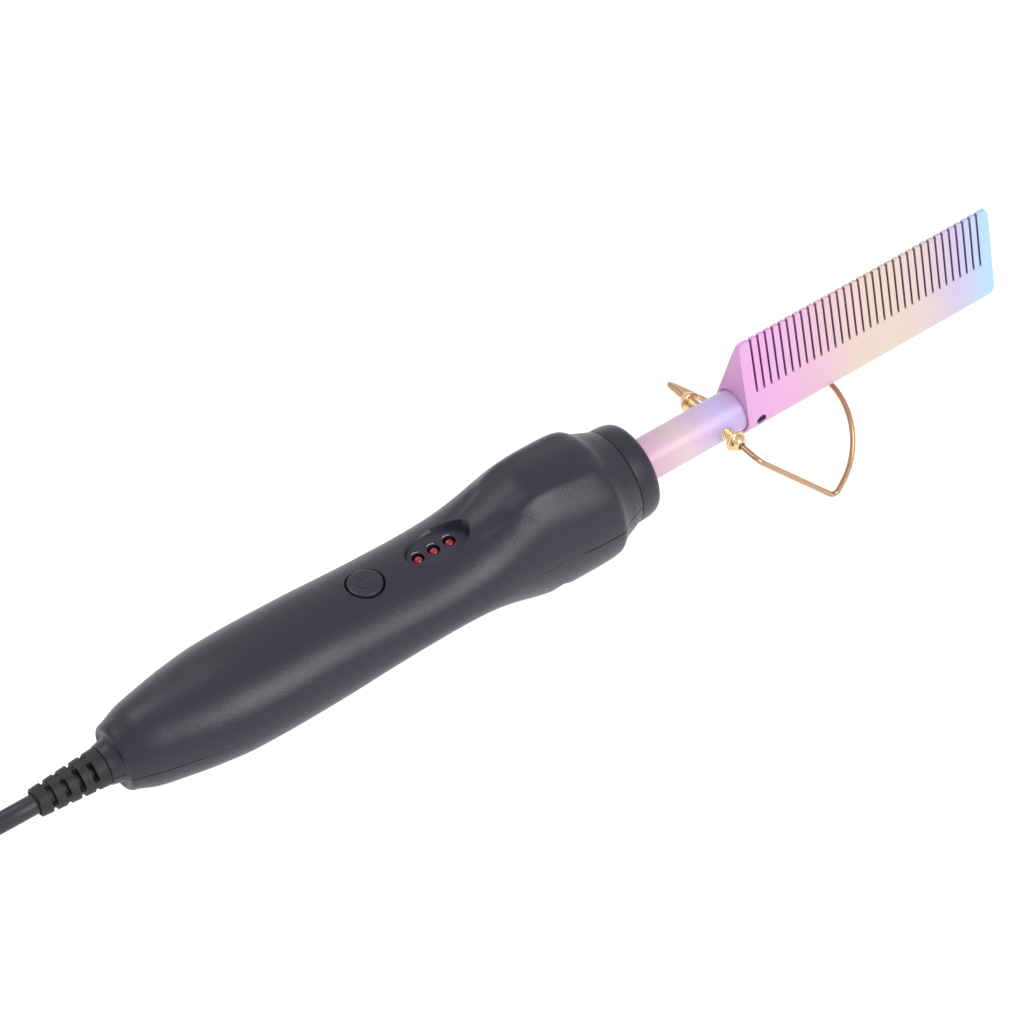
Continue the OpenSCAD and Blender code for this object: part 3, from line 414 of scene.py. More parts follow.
relief = make_piece("strain_relief_sleeve", "main", "relief_rubber", tpe,
                    skin(seat(relief_grid), caps=(True, True)), sharp=50)
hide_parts("strain_relief")
make_piece("cord_in_relief", "main", "cord_jacket", jacket,
           turned([[RELIEF_BACK + 0.02, CORD_R], [RELIEF_BACK + MOUTH_DEEP + 1, CORD_R]], 0))

# ---- Handle: upper shell --------------------------------------------------------------
# Injection-moulded ABS in satin charcoal: a slim oval grip that swells to a
# thumb rest before the ring. A round hole takes the button and a sunk lens
# holds the three lights. It meets the lower shell at a fine parting line.
SHELL_T = 2.2
SEAM_X, RING_X, HANDLE_L = 161.8, 162.05, 169.0
BUTTON_X = 80.2
LIGHTS_X, LIGHT_PITCH, LIGHT_HOLE_R = 102.4, 5.1, 1.8
RECESS_X, RECESS_HALF_L, RECESS_HALF_W, RECESS_Z = 103.7, 10.2, 6.2, 10.7
RECESS_INSIDE_Z = 9.6
BUSH_BORE_R, NECK_INSIDE_X = 11.0, 157.8
GAP_REAR, GAP_GRIP, GAP_FRONT = 0.09, 0.005, 0.12
RIDGE_H, RIDGE_TURN, RIDGE_SPREAD = 0.75, np.radians(27), np.radians(9)
GROOVE_DEEP, GROOVE_W, FLANK_R = 0.45, 1.9, 18.5
GROOVE_ROUTE = np.array([[106.0, 4.2], [121.0, 7.6], [128.5, 14.5]])
BUTTON_HOLE_R, HOLE_EDGE, GUIDE_R, GUIDE_Z = 5.35, 0.3, 6.65, 8.6
HALF_WIDTH = [[2.5, 10], [7.5, 11.8], [13, 13.2], [24, 15.7], [34, 17], [47, 17.4], [62, 17.2],
              [84, 16.8], [104, 16.7], [119, 17], [131, 17.7], [143, 18.9], [149, 19.2], [151.5, 19.2],
              [152.6, 18.95], [153.4, 18.4], [154.2, 17.7], [155.5, 16.9], [157, 16.2], [158.7, 15.6],
              [160.2, 15], [SEAM_X, 14.4]]
HALF_HEIGHT = [[2.5, 10], [7.5, 12], [13, 12.8], [24, 13.7], [36, 14.4], [50, 14.2], [62, 14],
               [73, 13.2], [84, 12.5], [97, 12.1], [107.5, 12.8], [113, 13.9], [119, 16.1], [125, 18.7],
               [131, 20.6], [135, 20.85], [143, 20.2], [149, 19.6], [152, 18.95], [153.5, 18.3],
               [154.5, 17.6], [155.5, 17], [157, 16.3], [158.7, 15.6], [160.2, 15], [SEAM_X, 14.4]]
REAR = np.array([[-3.3, 5.5], [-3.15, 5.72], [-1.8, 6.0], [-0.4, 6.35], [0.1, 6.7], [0.38, 7.15],
                 [0.3, 7.6], [0.05, 7.95], [-0.05, 8.3], [0.08, 8.8], [0.45, 9.25], [1.1, 9.6]])
REAR_INSIDE = np.array([[-3.3, 4.5], [-2.7, 4.5], [-1.5, 4.5], [-0.5, 4.5], [0.4, 4.5], [1, 4.5],
                        [1.6, 4.5], [2.2, 4.5], [2.2, 5.5], [2.25, 6.5], [2.4, 7.2], [2.7, 7.6]])


def parting(x):
    """Half of the gap between the shells: open at the ends, closed along the grip."""
    return (GAP_REAR + (GAP_GRIP - GAP_REAR) * ease(14, 34, x)
            + (GAP_FRONT - GAP_GRIP) * ease(118, 146, x))


def crest(x, turn):
    """Height that the thumb rest adds to the oval: a ridge along each side of its top, and a groove
    that runs over the front of the rise and dies away in each flank."""
    side = np.abs(turn - np.pi / 2)
    ridge = (RIDGE_H * np.exp(-((side - RIDGE_TURN) / RIDGE_SPREAD) ** 2)
             * ease(119, 126, x) * (1 - ease(149, 155, x)))
    place = np.stack(np.broadcast_arrays(x, side * FLANK_R), -1)
    away = []
    for start, run in zip(GROOVE_ROUTE, np.diff(GROOVE_ROUTE, axis=0)):
        share = np.clip((place - start) @ run / (run @ run), 0, 1)[..., None]
        away.append(np.linalg.norm(place - start - share * run, axis=-1))
    groove = GROOVE_DEEP * np.exp(-(np.minimum(*away) / GROOVE_W) ** 2)
    return ridge - groove * ease(106, 116, x) * (1 - ease(120, 129, x))


def shell_height(x, y):
    """Height of the handle's skin over the parting plane."""
    return through(x, HALF_HEIGHT) * np.sqrt(np.clip(1 - (y / through(x, HALF_WIDTH)) ** 2, 0, 1))


def half_shell(sign, tail=()):
    """Skins of half of the handle, a closed wall: half ovals outside, and ovals a wall less inside.
    sign is 1 for the upper half and -1 for the lower; tail adds [x, radius] rows at the front."""
    x = np.concatenate([np.arange(2, 150, 1.0), np.arange(150, 158, 0.5), np.arange(158, SEAM_X, 0.2),
                        [SEAM_X]])
    tail = np.array(tail, float).reshape(-1, 2)
    wide, high = through(x, HALF_WIDTH), through(x, HALF_HEIGHT)
    wide_in, high_in = (np.where(x > NECK_INSIDE_X, BUSH_BORE_R, half - SHELL_T) for half in (wide, high))
    if sign > 0:
        under_lens = np.abs(x - RECESS_X) < RECESS_HALF_L + 2
        high_in = np.where(under_lens, np.minimum(high_in, RECESS_INSIDE_Z), high_in)
    bore = np.full(len(tail), BUSH_BORE_R)
    outer_x, core_x, wide, high, wide_in, high_in = (np.concatenate(rows)[:, None] for rows in (
        (REAR[:, 0], x, tail[:, 0]), (REAR_INSIDE[:, 0], np.maximum(x, 2.9), tail[:, 0]),
        (REAR[:, 1], wide, tail[:, 1]), (REAR[:, 1], high, tail[:, 1]),
        (REAR_INSIDE[:, 1], wide_in, bore), (REAR_INSIDE[:, 1], high_in, bore)))
    turn = np.linspace(0, np.pi, 73)
    turn[0], turn[-1] = 0.004, np.pi - 0.004
    turn = np.concatenate([[0], turn, [np.pi]])[None, :]
    gap = parting(outer_x)
    rounding = np.where((turn == 0) | (turn == np.pi), 1.1 * gap, 0)
    lift = crest(outer_x, turn) if sign > 0 else 0
    outer = np.stack([outer_x + 0 * turn, (wide - rounding + lift) * np.cos(turn),
                      sign * (gap + (high - gap + lift) * np.sin(turn))], -1)
    inside = np.stack([core_x + 0 * turn, wide_in * np.cos(turn),
                       sign * (gap + (high_in - gap) * np.sin(turn))], -1)
    outer, inside = seat(outer), seat(inside)
    rims = [np.stack([outer[0], inside[0]]), np.stack([outer[-1], inside[-1]]),
            np.stack([outer[:, 0], inside[:, 0]]), np.stack([outer[:, -1], inside[:, -1]])]
    return [skin(grid, closed_columns=False) for grid in [outer, inside, *rims]]


def around(middle_x, middle_y, rows, sign=1, closed=False):
    """Skin of rings about an upright line. A row is two half-lengths, a height, and 1 if the height
    is measured from the handle's skin or 0 if from the parting plane."""
    turn = np.linspace(0, 2 * np.pi, 96, endpoint=False)[None, :]
    long, wide, height, follows = np.array(rows, float).T[:, :, None]
    x, y = middle_x + long * np.cos(turn), middle_y + wide * np.sin(turn)
    z = sign * (height + follows * shell_height(x, y))
    return skin(seat(np.stack([x, y, z], -1)), closed_rows=closed, caps=(not closed, not closed))


def carve(piece, *cutters):
    """Cuts closed skins out of a piece, for good."""
    tool = make_piece("cutter", "main", "handle_upper", piece.data.materials[0], *cutters)
    cut = piece.modifiers.new("cut", "BOOLEAN")
    cut.operation, cut.solver, cut.object = "DIFFERENCE", "EXACT", tool
    mesh = bpy.data.meshes.new_from_object(piece.evaluated_get(bpy.context.evaluated_depsgraph_get()))
    piece.modifiers.clear()
    piece.data = mesh
    mesh.shade_smooth()
    mesh.set_sharp_from_angle(angle=np.radians(35))
    bpy.data.objects.remove(tool)


# Satin ABS: charcoal with a violet cast, slightly cloudy, with a fine spark-eroded grain
charcoal = moulded("satin_abs", "#1a1726", "#201c2e", (45.0, 4.0), (2300.0, 2.0), 0.35, 0.37)

upper = make_piece("handle_upper_shell", "main", "handle_upper", charcoal, *half_shell(1), sharp=40)
hole = [[BUTTON_HOLE_R, BUTTON_HOLE_R, 6, 0], [BUTTON_HOLE_R, BUTTON_HOLE_R, -0.35, 1],
        [BUTTON_HOLE_R + HOLE_EDGE, BUTTON_HOLE_R + HOLE_EDGE, 0.02, 1],
        [BUTTON_HOLE_R + HOLE_EDGE, BUTTON_HOLE_R + HOLE_EDGE, 3, 1]]
lens = [[RECESS_HALF_L - 0.9, RECESS_HALF_W - 0.55, RECESS_Z, 0],
        [RECESS_HALF_L - 0.15, RECESS_HALF_W - 0.1, -0.18, 1],
        [RECESS_HALF_L + 0.15, RECESS_HALF_W + 0.15, 0.02, 1],
        [RECESS_HALF_L + 0.15, RECESS_HALF_W + 0.15, 3, 1]]
light_hole = [[LIGHT_HOLE_R, LIGHT_HOLE_R, 4, 0], [LIGHT_HOLE_R, LIGHT_HOLE_R, RECESS_Z + 0.6, 0]]
light_places = [LIGHTS_X + i * LIGHT_PITCH for i in (-1, 0, 1)]
carve(upper, around(BUTTON_X, 0, hole))
carve(upper, around(RECESS_X, 0, lens))
for x in light_places:
    carve(upper, around(x, 0, light_hole))
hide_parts("upper_shell")
guide = [[BUTTON_HOLE_R, BUTTON_HOLE_R, GUIDE_Z, 0], [GUIDE_R, GUIDE_R, GUIDE_Z, 0],
         [GUIDE_R, GUIDE_R, -1.2, 1], [BUTTON_HOLE_R, BUTTON_HOLE_R, -1.2, 1]]
make_piece("button_guide", "main", "handle_upper", charcoal, around(BUTTON_X, 0, guide, closed=True))

# ---- Handle: lower shell with the ring ---------------------------------------------------
# The same ABS. The lower half is moulded in one with the round ring that
# closes the front and bears the barrel's bush. Four screws drive up through
# sunk bosses into the upper shell.
RING_R = 14.4
SCREW_PLACES = [(34, -10), (34, 10), (134, -12), (134, 12)]
SINK_R, SINK_SEAT, SINK_EDGE, BOSS_R, BOSS_TOP, PILOT_R = 2.9, 6.0, 0.25, 3.9, 0.1, 1.4
SPIGOT_R, LIP_R, LIP_X = 13.6, 6.75, 166.8

lower = make_piece(
    "handle_lower_shell", "main", "handle_lower", charcoal,
    *half_shell(-1, [[SEAM_X, SPIGOT_R], [RING_X + 0.2, SPIGOT_R]]), sharp=40)
for x, y in SCREW_PLACES:
    carve(lower, around(x, y, [[SINK_R, SINK_R, SINK_SEAT, 0], [SINK_R, SINK_R, -0.2, 1],
                               [SINK_R + SINK_EDGE, SINK_R + SINK_EDGE, 0.05, 1],
                               [SINK_R + SINK_EDGE, SINK_R + SINK_EDGE, 3, 1]], -1))
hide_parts("lower_shell")
ring = [[RING_X, BUSH_BORE_R], [RING_X, RING_R - 0.12], [RING_X + 0.12, RING_R], [163.5, RING_R],
        [165.5, RING_R - 0.12], [167.1, RING_R - 0.38], [168, RING_R - 0.72], [168.6, RING_R - 1.15],
        [168.92, RING_R - 1.6], [HANDLE_L, RING_R - 2.1], [HANDLE_L, LIP_R], [LIP_X, LIP_R],
        [LIP_X, BUSH_BORE_R]]
make_piece("handle_front_ring", "main", "handle_lower", charcoal, turned(ring, 0, steps=128, closed=True))
boss = [[SINK_R, SINK_R, -1.1, 1], [BOSS_R, BOSS_R, -1.1, 1], [BOSS_R, BOSS_R, BOSS_TOP, 0],
        [PILOT_R, PILOT_R, BOSS_TOP, 0], [PILOT_R, PILOT_R, SINK_SEAT, 0], [SINK_R, SINK_R, SINK_SEAT, 0]]
make_piece("shell_screw_bosses", "main", "handle_lower", charcoal,
           *[around(x, y, boss, -1, closed=True) for x, y in SCREW_PLACES])

# ---- Button ----------------------------------------------------------------------------
# A round ABS push button, moulded with its flange, in the same charcoal. Its
# softly domed face carries the usual raised mark of a broken ring and a bar.
BUTTON_R, BUTTON_TOP = 5.0, 12.9
STEM_R, STEM_Z, FLANGE_R, FLANGE_Z, FLANGE_T = 1.6, 7.28, 6.6, 7.48, 0.8
MARK_R, MARK_LINE = 1.9, 0.26

button_profile = [[STEM_Z, STEM_R], [FLANGE_Z, STEM_R], [FLANGE_Z, FLANGE_R],
                  [FLANGE_Z + FLANGE_T, FLANGE_R], [FLANGE_Z + FLANGE_T, BUTTON_R],
                  [BUTTON_TOP - 0.75, BUTTON_R], [BUTTON_TOP - 0.45, BUTTON_R - 0.06],
                  [BUTTON_TOP - 0.22, BUTTON_R - 0.22], [BUTTON_TOP - 0.08, BUTTON_R - 0.5],
                  [BUTTON_TOP, BUTTON_R - 0.9], [BUTTON_TOP + 0.06, 3], [BUTTON_TOP + 0.1, 1.5],
                  [BUTTON_TOP + 0.11, 0.1]]
button = make_piece("button_cap", "button", "button_abs", charcoal,
                    turned(button_profile, 2, (BUTTON_X, 0, 0), 96))
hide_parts("power_button")
turn = np.radians(np.linspace(40, 320, 48))
mark_z = BUTTON_TOP + 0.06
mark_arc = np.stack([BUTTON_X + MARK_R * np.cos(turn), MARK_R * np.sin(turn), mark_z + 0 * turn], -1)
mark_bar = np.array([[BUTTON_X + x, 0, mark_z] for x in (0.3, 1.2, 2.3)])
make_piece("button_mark", "button", "button_abs", charcoal,
           *[skin(seat(sweep(line, MARK_LINE, 12)), caps=(True, True)) for line in (mark_arc, mark_bar)])

# ---- Lights ------------------------------------------------------------------------------
# Three small red domed indicator lights in clear-tinted acrylic, each in its
# own round hole of the sunk lens, with a fine pale grey arc beside each.
LIGHT_R, LIGHT_FOOT_R, LIGHT_FOOT_Z, LIGHT_FOOT_T = 1.5, 1.75, 5.5, 1.0
LIGHT_ARC_R, LIGHT_ARC_LINE = 2.3, 0.09

red, tree = blank("red_acrylic")
where = add(tree, "ShaderNodeTexCoord").outputs["Object"]
cloud = add(tree, "ShaderNodeTexNoise", {"Vector": where, "Scale": 500.0, "Detail": 2.0})
tint = add(tree, "ShaderNodeMix", {0: cloud.outputs["Fac"], 6: hue("#5c060c"), 7: hue("#a01019")},
           data_type="RGBA")
finish = add(tree, "ShaderNodeBsdfPrincipled", {
    "Base Color": tint.outputs[2], "Roughness": 0.12, "IOR": 1.49, "Coat Weight": 0.4})
add(tree, "ShaderNodeOutputMaterial", {"Surface": finish.outputs["BSDF"]})

# Pale grey, matt, flecked between two greys
arc_grey, tree = blank("pale_grey_arcs")
where = add(tree, "ShaderNodeTexCoord").outputs["Object"]
fleck = add(tree, "ShaderNodeTexNoise", {"Vector": where, "Scale": 2500.0, "Detail": 2.0})
tint = add(tree, "ShaderNodeMix", {0: fleck.outputs["Fac"], 6: hue("#8d8b8f"), 7: hue("#d8d6d8")},
           data_type="RGBA")
finish = add(tree, "ShaderNodeBsdfPrincipled", {"Base Color": tint.outputs[2], "Roughness": 0.6})
add(tree, "ShaderNodeOutputMaterial", {"Surface": finish.outputs["BSDF"]})

bow = np.radians(np.linspace(0, 88, 12))
dome = np.stack([RECESS_Z + 0.1 - LIGHT_R + LIGHT_R * np.sin(bow), LIGHT_R * np.cos(bow)], -1)
for name, x in zip(("low", "medium", "high"), light_places):
    light = make_piece("light_" + name, "main", "red_lens", red,
                       turned([[LIGHT_FOOT_Z, LIGHT_FOOT_R], [LIGHT_FOOT_Z + LIGHT_FOOT_T, LIGHT_FOOT_R],
                               [LIGHT_FOOT_Z + LIGHT_FOOT_T, LIGHT_R], *dome], 2, (x, 0, 0)))
    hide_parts("led_" + name)


def pale_arc(x, start, end):
    """Skin of a thin pale grey arc round a light, between two angles in degrees, as a flat round line."""
    turn = np.radians(np.linspace(start, end, 20))
    line = np.stack([x + LIGHT_ARC_R * np.cos(turn), LIGHT_ARC_R * np.sin(turn), RECESS_Z + 0 * turn], -1)
    return skin(seat(sweep(line, LIGHT_ARC_LINE, 6)), caps=(True, True))


make_piece("light_marks", "main", "handle_upper", arc_grey, *[pale_arc(x, 55, 110) for x in light_places])

# ---- Barrel -------------------------------------------------------------------------------
# Thin titanium tube, polished and heat-tinted, so that its oxide film turns
# from rose at the handle through cream to lavender at the comb.
TUBE_R, TUBE_T = 6.35, 1.0
TUBE_BACK, TUBE_FRONT = 148.0, 215.0
FILM_FROM, FILM_TO = 169.0, 205.0


def along_tool(tree, start, end):
    """The coordinates of a surface, and its share of the way along the tool's axis between two
    distances from the handle's rear end, in mm."""
    where = add(tree, "ShaderNodeTexCoord").outputs
    run = add(tree, "ShaderNodeVectorMath", {0: where["Object"], 1: forward.tolist()},
              operation="DOT_PRODUCT")
    low, high = (float(seat([x, 0, 0]) @ forward) for x in (start, end))
    share = add(tree, "ShaderNodeMapRange", {
        "Value": run.outputs["Value"], "From Min": low, "From Max": high})
    return where, share.outputs["Result"]


def paint(ramp, *codes):
    """Spaces colours, given as hex values, evenly along a ramp."""
    band = ramp.color_ramp.elements
    for i, code in enumerate(codes[1:-1], 1):
        band.new(i / (len(codes) - 1)).color = hue(code)
    band[0].color, band[-1].color = hue(codes[0]), hue(codes[-1])
    return ramp.outputs["Color"]


tinted, tree = blank("tinted_titanium_tube")
where, share = along_tool(tree, FILM_FROM, FILM_TO)
film = paint(add(tree, "ShaderNodeValToRGB", {"Fac": share}),
             "#cfa5c4", "#d0aec0", "#d1b9bf", "#cbb1cf", "#bfb2e0", "#c4aad6")
haze = add(tree, "ShaderNodeTexNoise", {"Vector": where["Object"], "Scale": 300.0, "Detail": 2.0})
gloss = add(tree, "ShaderNodeMapRange", {"Value": haze.outputs["Fac"], "To Min": 0.36, "To Max": 0.44})
finish = add(tree, "ShaderNodeBsdfPrincipled", {
    "Base Color": film, "Metallic": 0.2, "Roughness": gloss.outputs["Result"]})
add(tree, "ShaderNodeOutputMaterial", {"Surface": finish.outputs["BSDF"]})

barrel = make_piece(
    "barrel", "main", "tube_titanium", tinted,
    turned([[TUBE_BACK, TUBE_R - TUBE_T], [TUBE_BACK, TUBE_R], [TUBE_FRONT, TUBE_R],
            [TUBE_FRONT, TUBE_R - TUBE_T]], 0, steps=160, closed=True))
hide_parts("barrel_tube")

# ---- Comb head --------------------------------------------------------------------------
# Extruded titanium-coated aluminium bar, round behind and thin at the top, sawn
# into teeth by 33 slots. Its film runs from pink through cream to sky blue. A
# slotted grub screw holds it on the barrel, turned a little to the right.
COMB_X, TIP_X, COMB_R = 205.0, 296.8, 7.35
COMB_LEAN = np.radians(5.0)
TOOTH_Z, TIP_HALF, TOOTH_HALF, BEVEL_H = 26.3, 0.4, 0.8, 0.8
SLOT_Z, SLOT_W, SLOT_PITCH, SLOTS, SLOT_FIRST = 9.2, 0.72, 2.6, 33, 209.2
OUTLINE_R, TOP_CORNER_R, TIP_ROUND, EDGE = 2.6, 2.1, 0.4, 0.05
BORE_R, BORE_END, MOUTH_W = 6.42, 215.5, 0.2
GRUB_X, GRUB_Z, GRUB_R, GRUB_SLOT = 209.6, -1.1, 1.45, 0.3
GRUB_OUT, GRUB_SLOT_Y, GRUB_IN = -7.0, -6.3, -4.9

# The section, from the bottom up one flank to the tip and down the other
shoulder_z = TOOTH_Z - BEVEL_H
flank = np.arcsin(COMB_R / np.hypot(TOOTH_HALF, shoulder_z)) - np.arctan(TOOTH_HALF / shoulder_z)
turn = np.linspace(-np.pi / 2, flank, 33)
foot_y, foot_z = COMB_R * np.cos(flank), COMB_R * np.sin(flank)
flank_z = np.array([5, SLOT_Z, 12, 16, 20, 23, shoulder_z - 0.3])
flank_y = foot_y + (TOOTH_HALF - foot_y) * (flank_z - foot_z) / (shoulder_z - foot_z)
bow = np.radians(np.linspace(12, 90, 7))
tip_y = [*(TIP_HALF + (TOOTH_HALF - TIP_HALF) * np.cos(bow)), TIP_HALF / 2, 0]
tip_z = [*(shoulder_z + BEVEL_H * np.sin(bow)), TOOTH_Z, TOOTH_Z]
half_y = np.concatenate([COMB_R * np.cos(turn), flank_y, tip_y])
half_z = np.concatenate([COMB_R * np.sin(turn), flank_z, tip_z])
section_y = np.concatenate([half_y, -half_y[-2:0:-1]])[None, :]
section_z = np.concatenate([half_z, half_z[-2:0:-1]])[None, :]

# Rows along the comb: eleven over each tooth, two over each slot
slot_x = SLOT_FIRST + SLOT_PITCH * np.arange(SLOTS)
land_from = np.concatenate([[COMB_X], slot_x + SLOT_W / 2])
land_to = np.concatenate([slot_x - SLOT_W / 2, [TIP_X]])
steps = np.array([0, 0.07, 0.16, 0.27, 0.4])
curve = OUTLINE_R * (1 - np.cos(np.radians(np.linspace(0, 90, 12))))
lands = [np.concatenate([COMB_X + curve, land_to[0] - 1 + 0 * steps[:1], land_to[0] - steps[::-1]]),
         *[np.concatenate([a + steps, [(a + b) / 2], b - steps[::-1]])
           for a, b in zip(land_from[1:-1], land_to[1:-1])],
         np.concatenate([land_from[-1] + steps, TIP_X - curve[::-1]])]
gaps = [np.array([x - SLOT_W / 2, x + SLOT_W / 2]) for x in slot_x]
rows_x = np.concatenate([rows for pair in zip(lands, gaps) for rows in pair] + [lands[-1]])
in_slot = np.concatenate([np.full(len(rows), kind) for pair in zip(lands, gaps)
                          for rows, kind in zip(pair, (False, True))] + [np.full(len(lands[-1]), False)])
near_slot = np.abs(rows_x[:, None] - np.concatenate([land_to[:-1], land_from[1:]])).min(1)
near_end = np.minimum(rows_x - COMB_X, TIP_X - rows_x)


def round_over(distance, radius):
    """How far a rounded edge of a radius has dropped at a distance from the edge."""
    return radius - np.sqrt(radius ** 2 - np.clip(radius - distance, 0, radius) ** 2)


limit = np.where(in_slot, SLOT_Z, TOOTH_Z - round_over(near_end, TOP_CORNER_R))[:, None]
bottom = (round_over(TIP_X - rows_x, OUTLINE_R) - COMB_R)[:, None]
drop = np.where(in_slot, 0, round_over(near_slot, TIP_ROUND))[:, None] * ease(23.5, TOOTH_Z, section_z)
inset = np.where(in_slot, 0, EDGE * (1 - ease(0, 0.12, near_slot)))[:, None] * (section_z > SLOT_Z + 0.1)
comb_z = np.clip(section_z - drop, bottom, limit)
comb_y = np.sign(section_y) * np.clip(np.abs(section_y) - inset, 0, None)
lean_y = comb_y * np.cos(COMB_LEAN) - comb_z * np.sin(COMB_LEAN)
lean_z = comb_z * np.cos(COMB_LEAN) + comb_y * np.sin(COMB_LEAN)
comb_grid = np.stack([rows_x[:, None] + 0 * comb_z, lean_y, lean_z], -1)
spoke = comb_grid[0, :, 1:] / np.linalg.norm(comb_grid[0, :, 1:], axis=1)[:, None]
bore = ((BORE_END, BORE_R), (COMB_X + 1.6, BORE_R), (COMB_X + 1.4, BORE_R + MOUTH_W),
        (COMB_X + 0.1, BORE_R + MOUTH_W), (COMB_X, BORE_R + MOUTH_W + 0.1))
bore_rows = np.stack([np.concatenate([np.full((len(spoke), 1), x), spoke * r], 1) for x, r in bore])
comb_grid = np.concatenate([bore_rows, comb_grid])

film_metal, tree = blank("tinted_titanium_comb")
where, share = along_tool(tree, COMB_X, TIP_X)
film = paint(add(tree, "ShaderNodeValToRGB", {"Fac": share}),
             "#d39dcd", "#d5a2cd", "#d3adbf", "#d0bbb4", "#cfbfae", "#cdbbb7", "#bdb3d0", "#a2c7e0")
# Painted shade in the slots: walls facing along the comb, between its ends, darkened to deep purple
facing = add(tree, "ShaderNodeVectorMath", {0: where["Normal"], 1: forward.tolist()},
             operation="DOT_PRODUCT")
across_run = add(tree, "ShaderNodeMath", {0: facing.outputs["Value"]}, operation="ABSOLUTE")
wall = add(tree, "ShaderNodeMath", {0: across_run.outputs["Value"], 1: 0.75}, operation="GREATER_THAN")
between = add(tree, "ShaderNodeMath", {0: share, 1: 0.5, 2: 0.46}, operation="COMPARE")
slot_shade = add(tree, "ShaderNodeMath", {0: wall.outputs["Value"], 1: between.outputs["Value"]},
           operation="MULTIPLY")
film = add(tree, "ShaderNodeMix", {0: slot_shade.outputs["Value"], 6: film, 7: hue("#c9a0c9")},
           data_type="RGBA", blend_type="MULTIPLY").outputs[2]
haze = add(tree, "ShaderNodeTexNoise", {"Vector": where["Object"], "Scale": 700.0, "Detail": 3.0})
gloss = add(tree, "ShaderNodeMapRange", {"Value": haze.outputs["Fac"], "To Min": 0.36, "To Max": 0.46})
finish = add(tree, "ShaderNodeBsdfPrincipled", {
    "Base Color": film, "Metallic": 0.15, "Roughness": gloss.outputs["Result"]})
add(tree, "ShaderNodeOutputMaterial", {"Surface": finish.outputs["BSDF"]})

comb = make_piece("comb_bar", "main", "comb_titanium", film_metal,
                  skin(seat(comb_grid), caps=(True, True)), sharp=30)
carve(comb, turned([[-9, GRUB_R + 0.2], [-6.3, GRUB_R + 0.2]], 1, (GRUB_X, 0, GRUB_Z), 48))
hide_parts("comb_head")

# Blackened steel
steel_dark = metal("blackened_steel", "#3a3340", "#6a6070", 1500.0, 2.0, 0.34, 0.36)

grub = make_piece("comb_grub_screw", "main", "plain_steel", steel_dark,
                  turned([[GRUB_OUT, GRUB_R - 0.25], [GRUB_OUT + 0.15, GRUB_R], [GRUB_IN, GRUB_R]], 1,
                         (GRUB_X, 0, GRUB_Z), 48))
slot_corners = ((-GRUB_SLOT, -8), (-GRUB_SLOT, GRUB_SLOT_Y), (GRUB_SLOT, GRUB_SLOT_Y), (GRUB_SLOT, -8))
slot_box = np.array([[[x, y, z] for z, y in slot_corners] for x in (-2, 2)]) + [GRUB_X, 0, GRUB_Z]
carve(grub, skin(seat(slot_box), caps=(True, True)))
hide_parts("comb_screw")

# ---- Stand screws ---------------------------------------------------------------------------
# Two turned brass screws, polished, one each side of the barrel. Each has a
# domed head, bored at its end for the wire, on a coarse thread.
THREAD_R, THREAD_PITCH, THREAD_DEEP = 1.9, 0.8, 0.3
HEAD_IN, HEAD_OUT, HEAD_R, WIRE_BORE_R = 9.9, 13.1, 3.2, 0.88
THREAD_FROM, BRIM_R, DOME_H = 4.15, 0.4, 2.2

# Polished brass, with hairline scratches that vary its gloss
brass = metal("polished_brass", "#dbb57c", "#f3deb6", 1100.0, 3.0, 0.1, 0.22)

thread_y = np.arange(THREAD_FROM, HEAD_IN, 0.08)[:, None]
turn = np.linspace(0, 2 * np.pi, 48, endpoint=False)[None, :]
phase = (thread_y / THREAD_PITCH - turn / (2 * np.pi)) % 1
thread_r = THREAD_R - THREAD_DEEP * (1 - np.abs(2 * phase - 1))
bow = np.radians(np.linspace(-90, 90, 9))
brim = np.stack([HEAD_IN + BRIM_R + BRIM_R * np.sin(bow), HEAD_R - BRIM_R + BRIM_R * np.cos(bow)], -1)
bow = np.radians(np.linspace(15, 80, 9))
dome = np.stack([HEAD_OUT - DOME_H + DOME_H * np.sin(bow), 0.9 + 1.65 * np.cos(bow)], -1)
head = np.array([[HEAD_IN, THREAD_R - 0.1], *brim, [HEAD_IN + 0.85, 2.5], *dome,
                 [HEAD_OUT - 0.05, WIRE_BORE_R + 0.25], [HEAD_OUT - 0.5, WIRE_BORE_R],
                 [HEAD_IN + 0.4, WIRE_BORE_R]])
screw_y = np.concatenate([thread_y + 0 * turn, head[:, :1] + 0 * turn])
screw_r = np.concatenate([thread_r, head[:, 1:] + 0 * turn])
screw_grid = np.stack([HINGE_X + screw_r * np.sin(turn), screw_y, screw_r * np.cos(turn)], -1)
for side, s in (("left", 1), ("right", -1)):
    screw = make_piece("stand_screw_" + side + "_turned", "main", "screw_brass", brass,
                       skin(seat(screw_grid * [1, s, 1]), caps=(True, True)), sharp=30)
    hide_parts("stand_screw_" + side)

# ---- Wire stand -------------------------------------------------------------------------------
# Spring-steel wire, 1.6 mm thick, plated a brownish gold and bent cold. It runs
# from one screw down to its feet, then up in one loop under the comb.
WIRE_R, WIRE_IN, BEND_R, FOOT_R, BEND_STEPS = 0.82, 10.6, 2.4, 2.0, 24
WIRE_BEND = [0.0, 20.8, 0.0]
WIRE_FOOT = [26.8, 22.0, -29.88]
LOOP_FRONT = [41.5, 0.0, -8.5]
LOOP_STRAIGHT = 0.2


def fillet(a, b, c, radius, steps):
    """Points of the arc of a radius that rounds the corner at b between a and c."""
    a, b, c = (np.array(p, float) for p in (a, b, c))
    u, v = (a - b) / np.linalg.norm(a - b), (c - b) / np.linalg.norm(c - b)
    half = np.arccos(u @ v) / 2
    inwards = (u + v) / np.linalg.norm(u + v)
    sideways = (v - u) / np.linalg.norm(v - u)
    swing = np.linspace(-1, 1, steps)[:, None] * (np.pi / 2 - half)
    return b + inwards * radius / np.sin(half) - radius * (np.cos(swing) * inwards - np.sin(swing) * sideways)


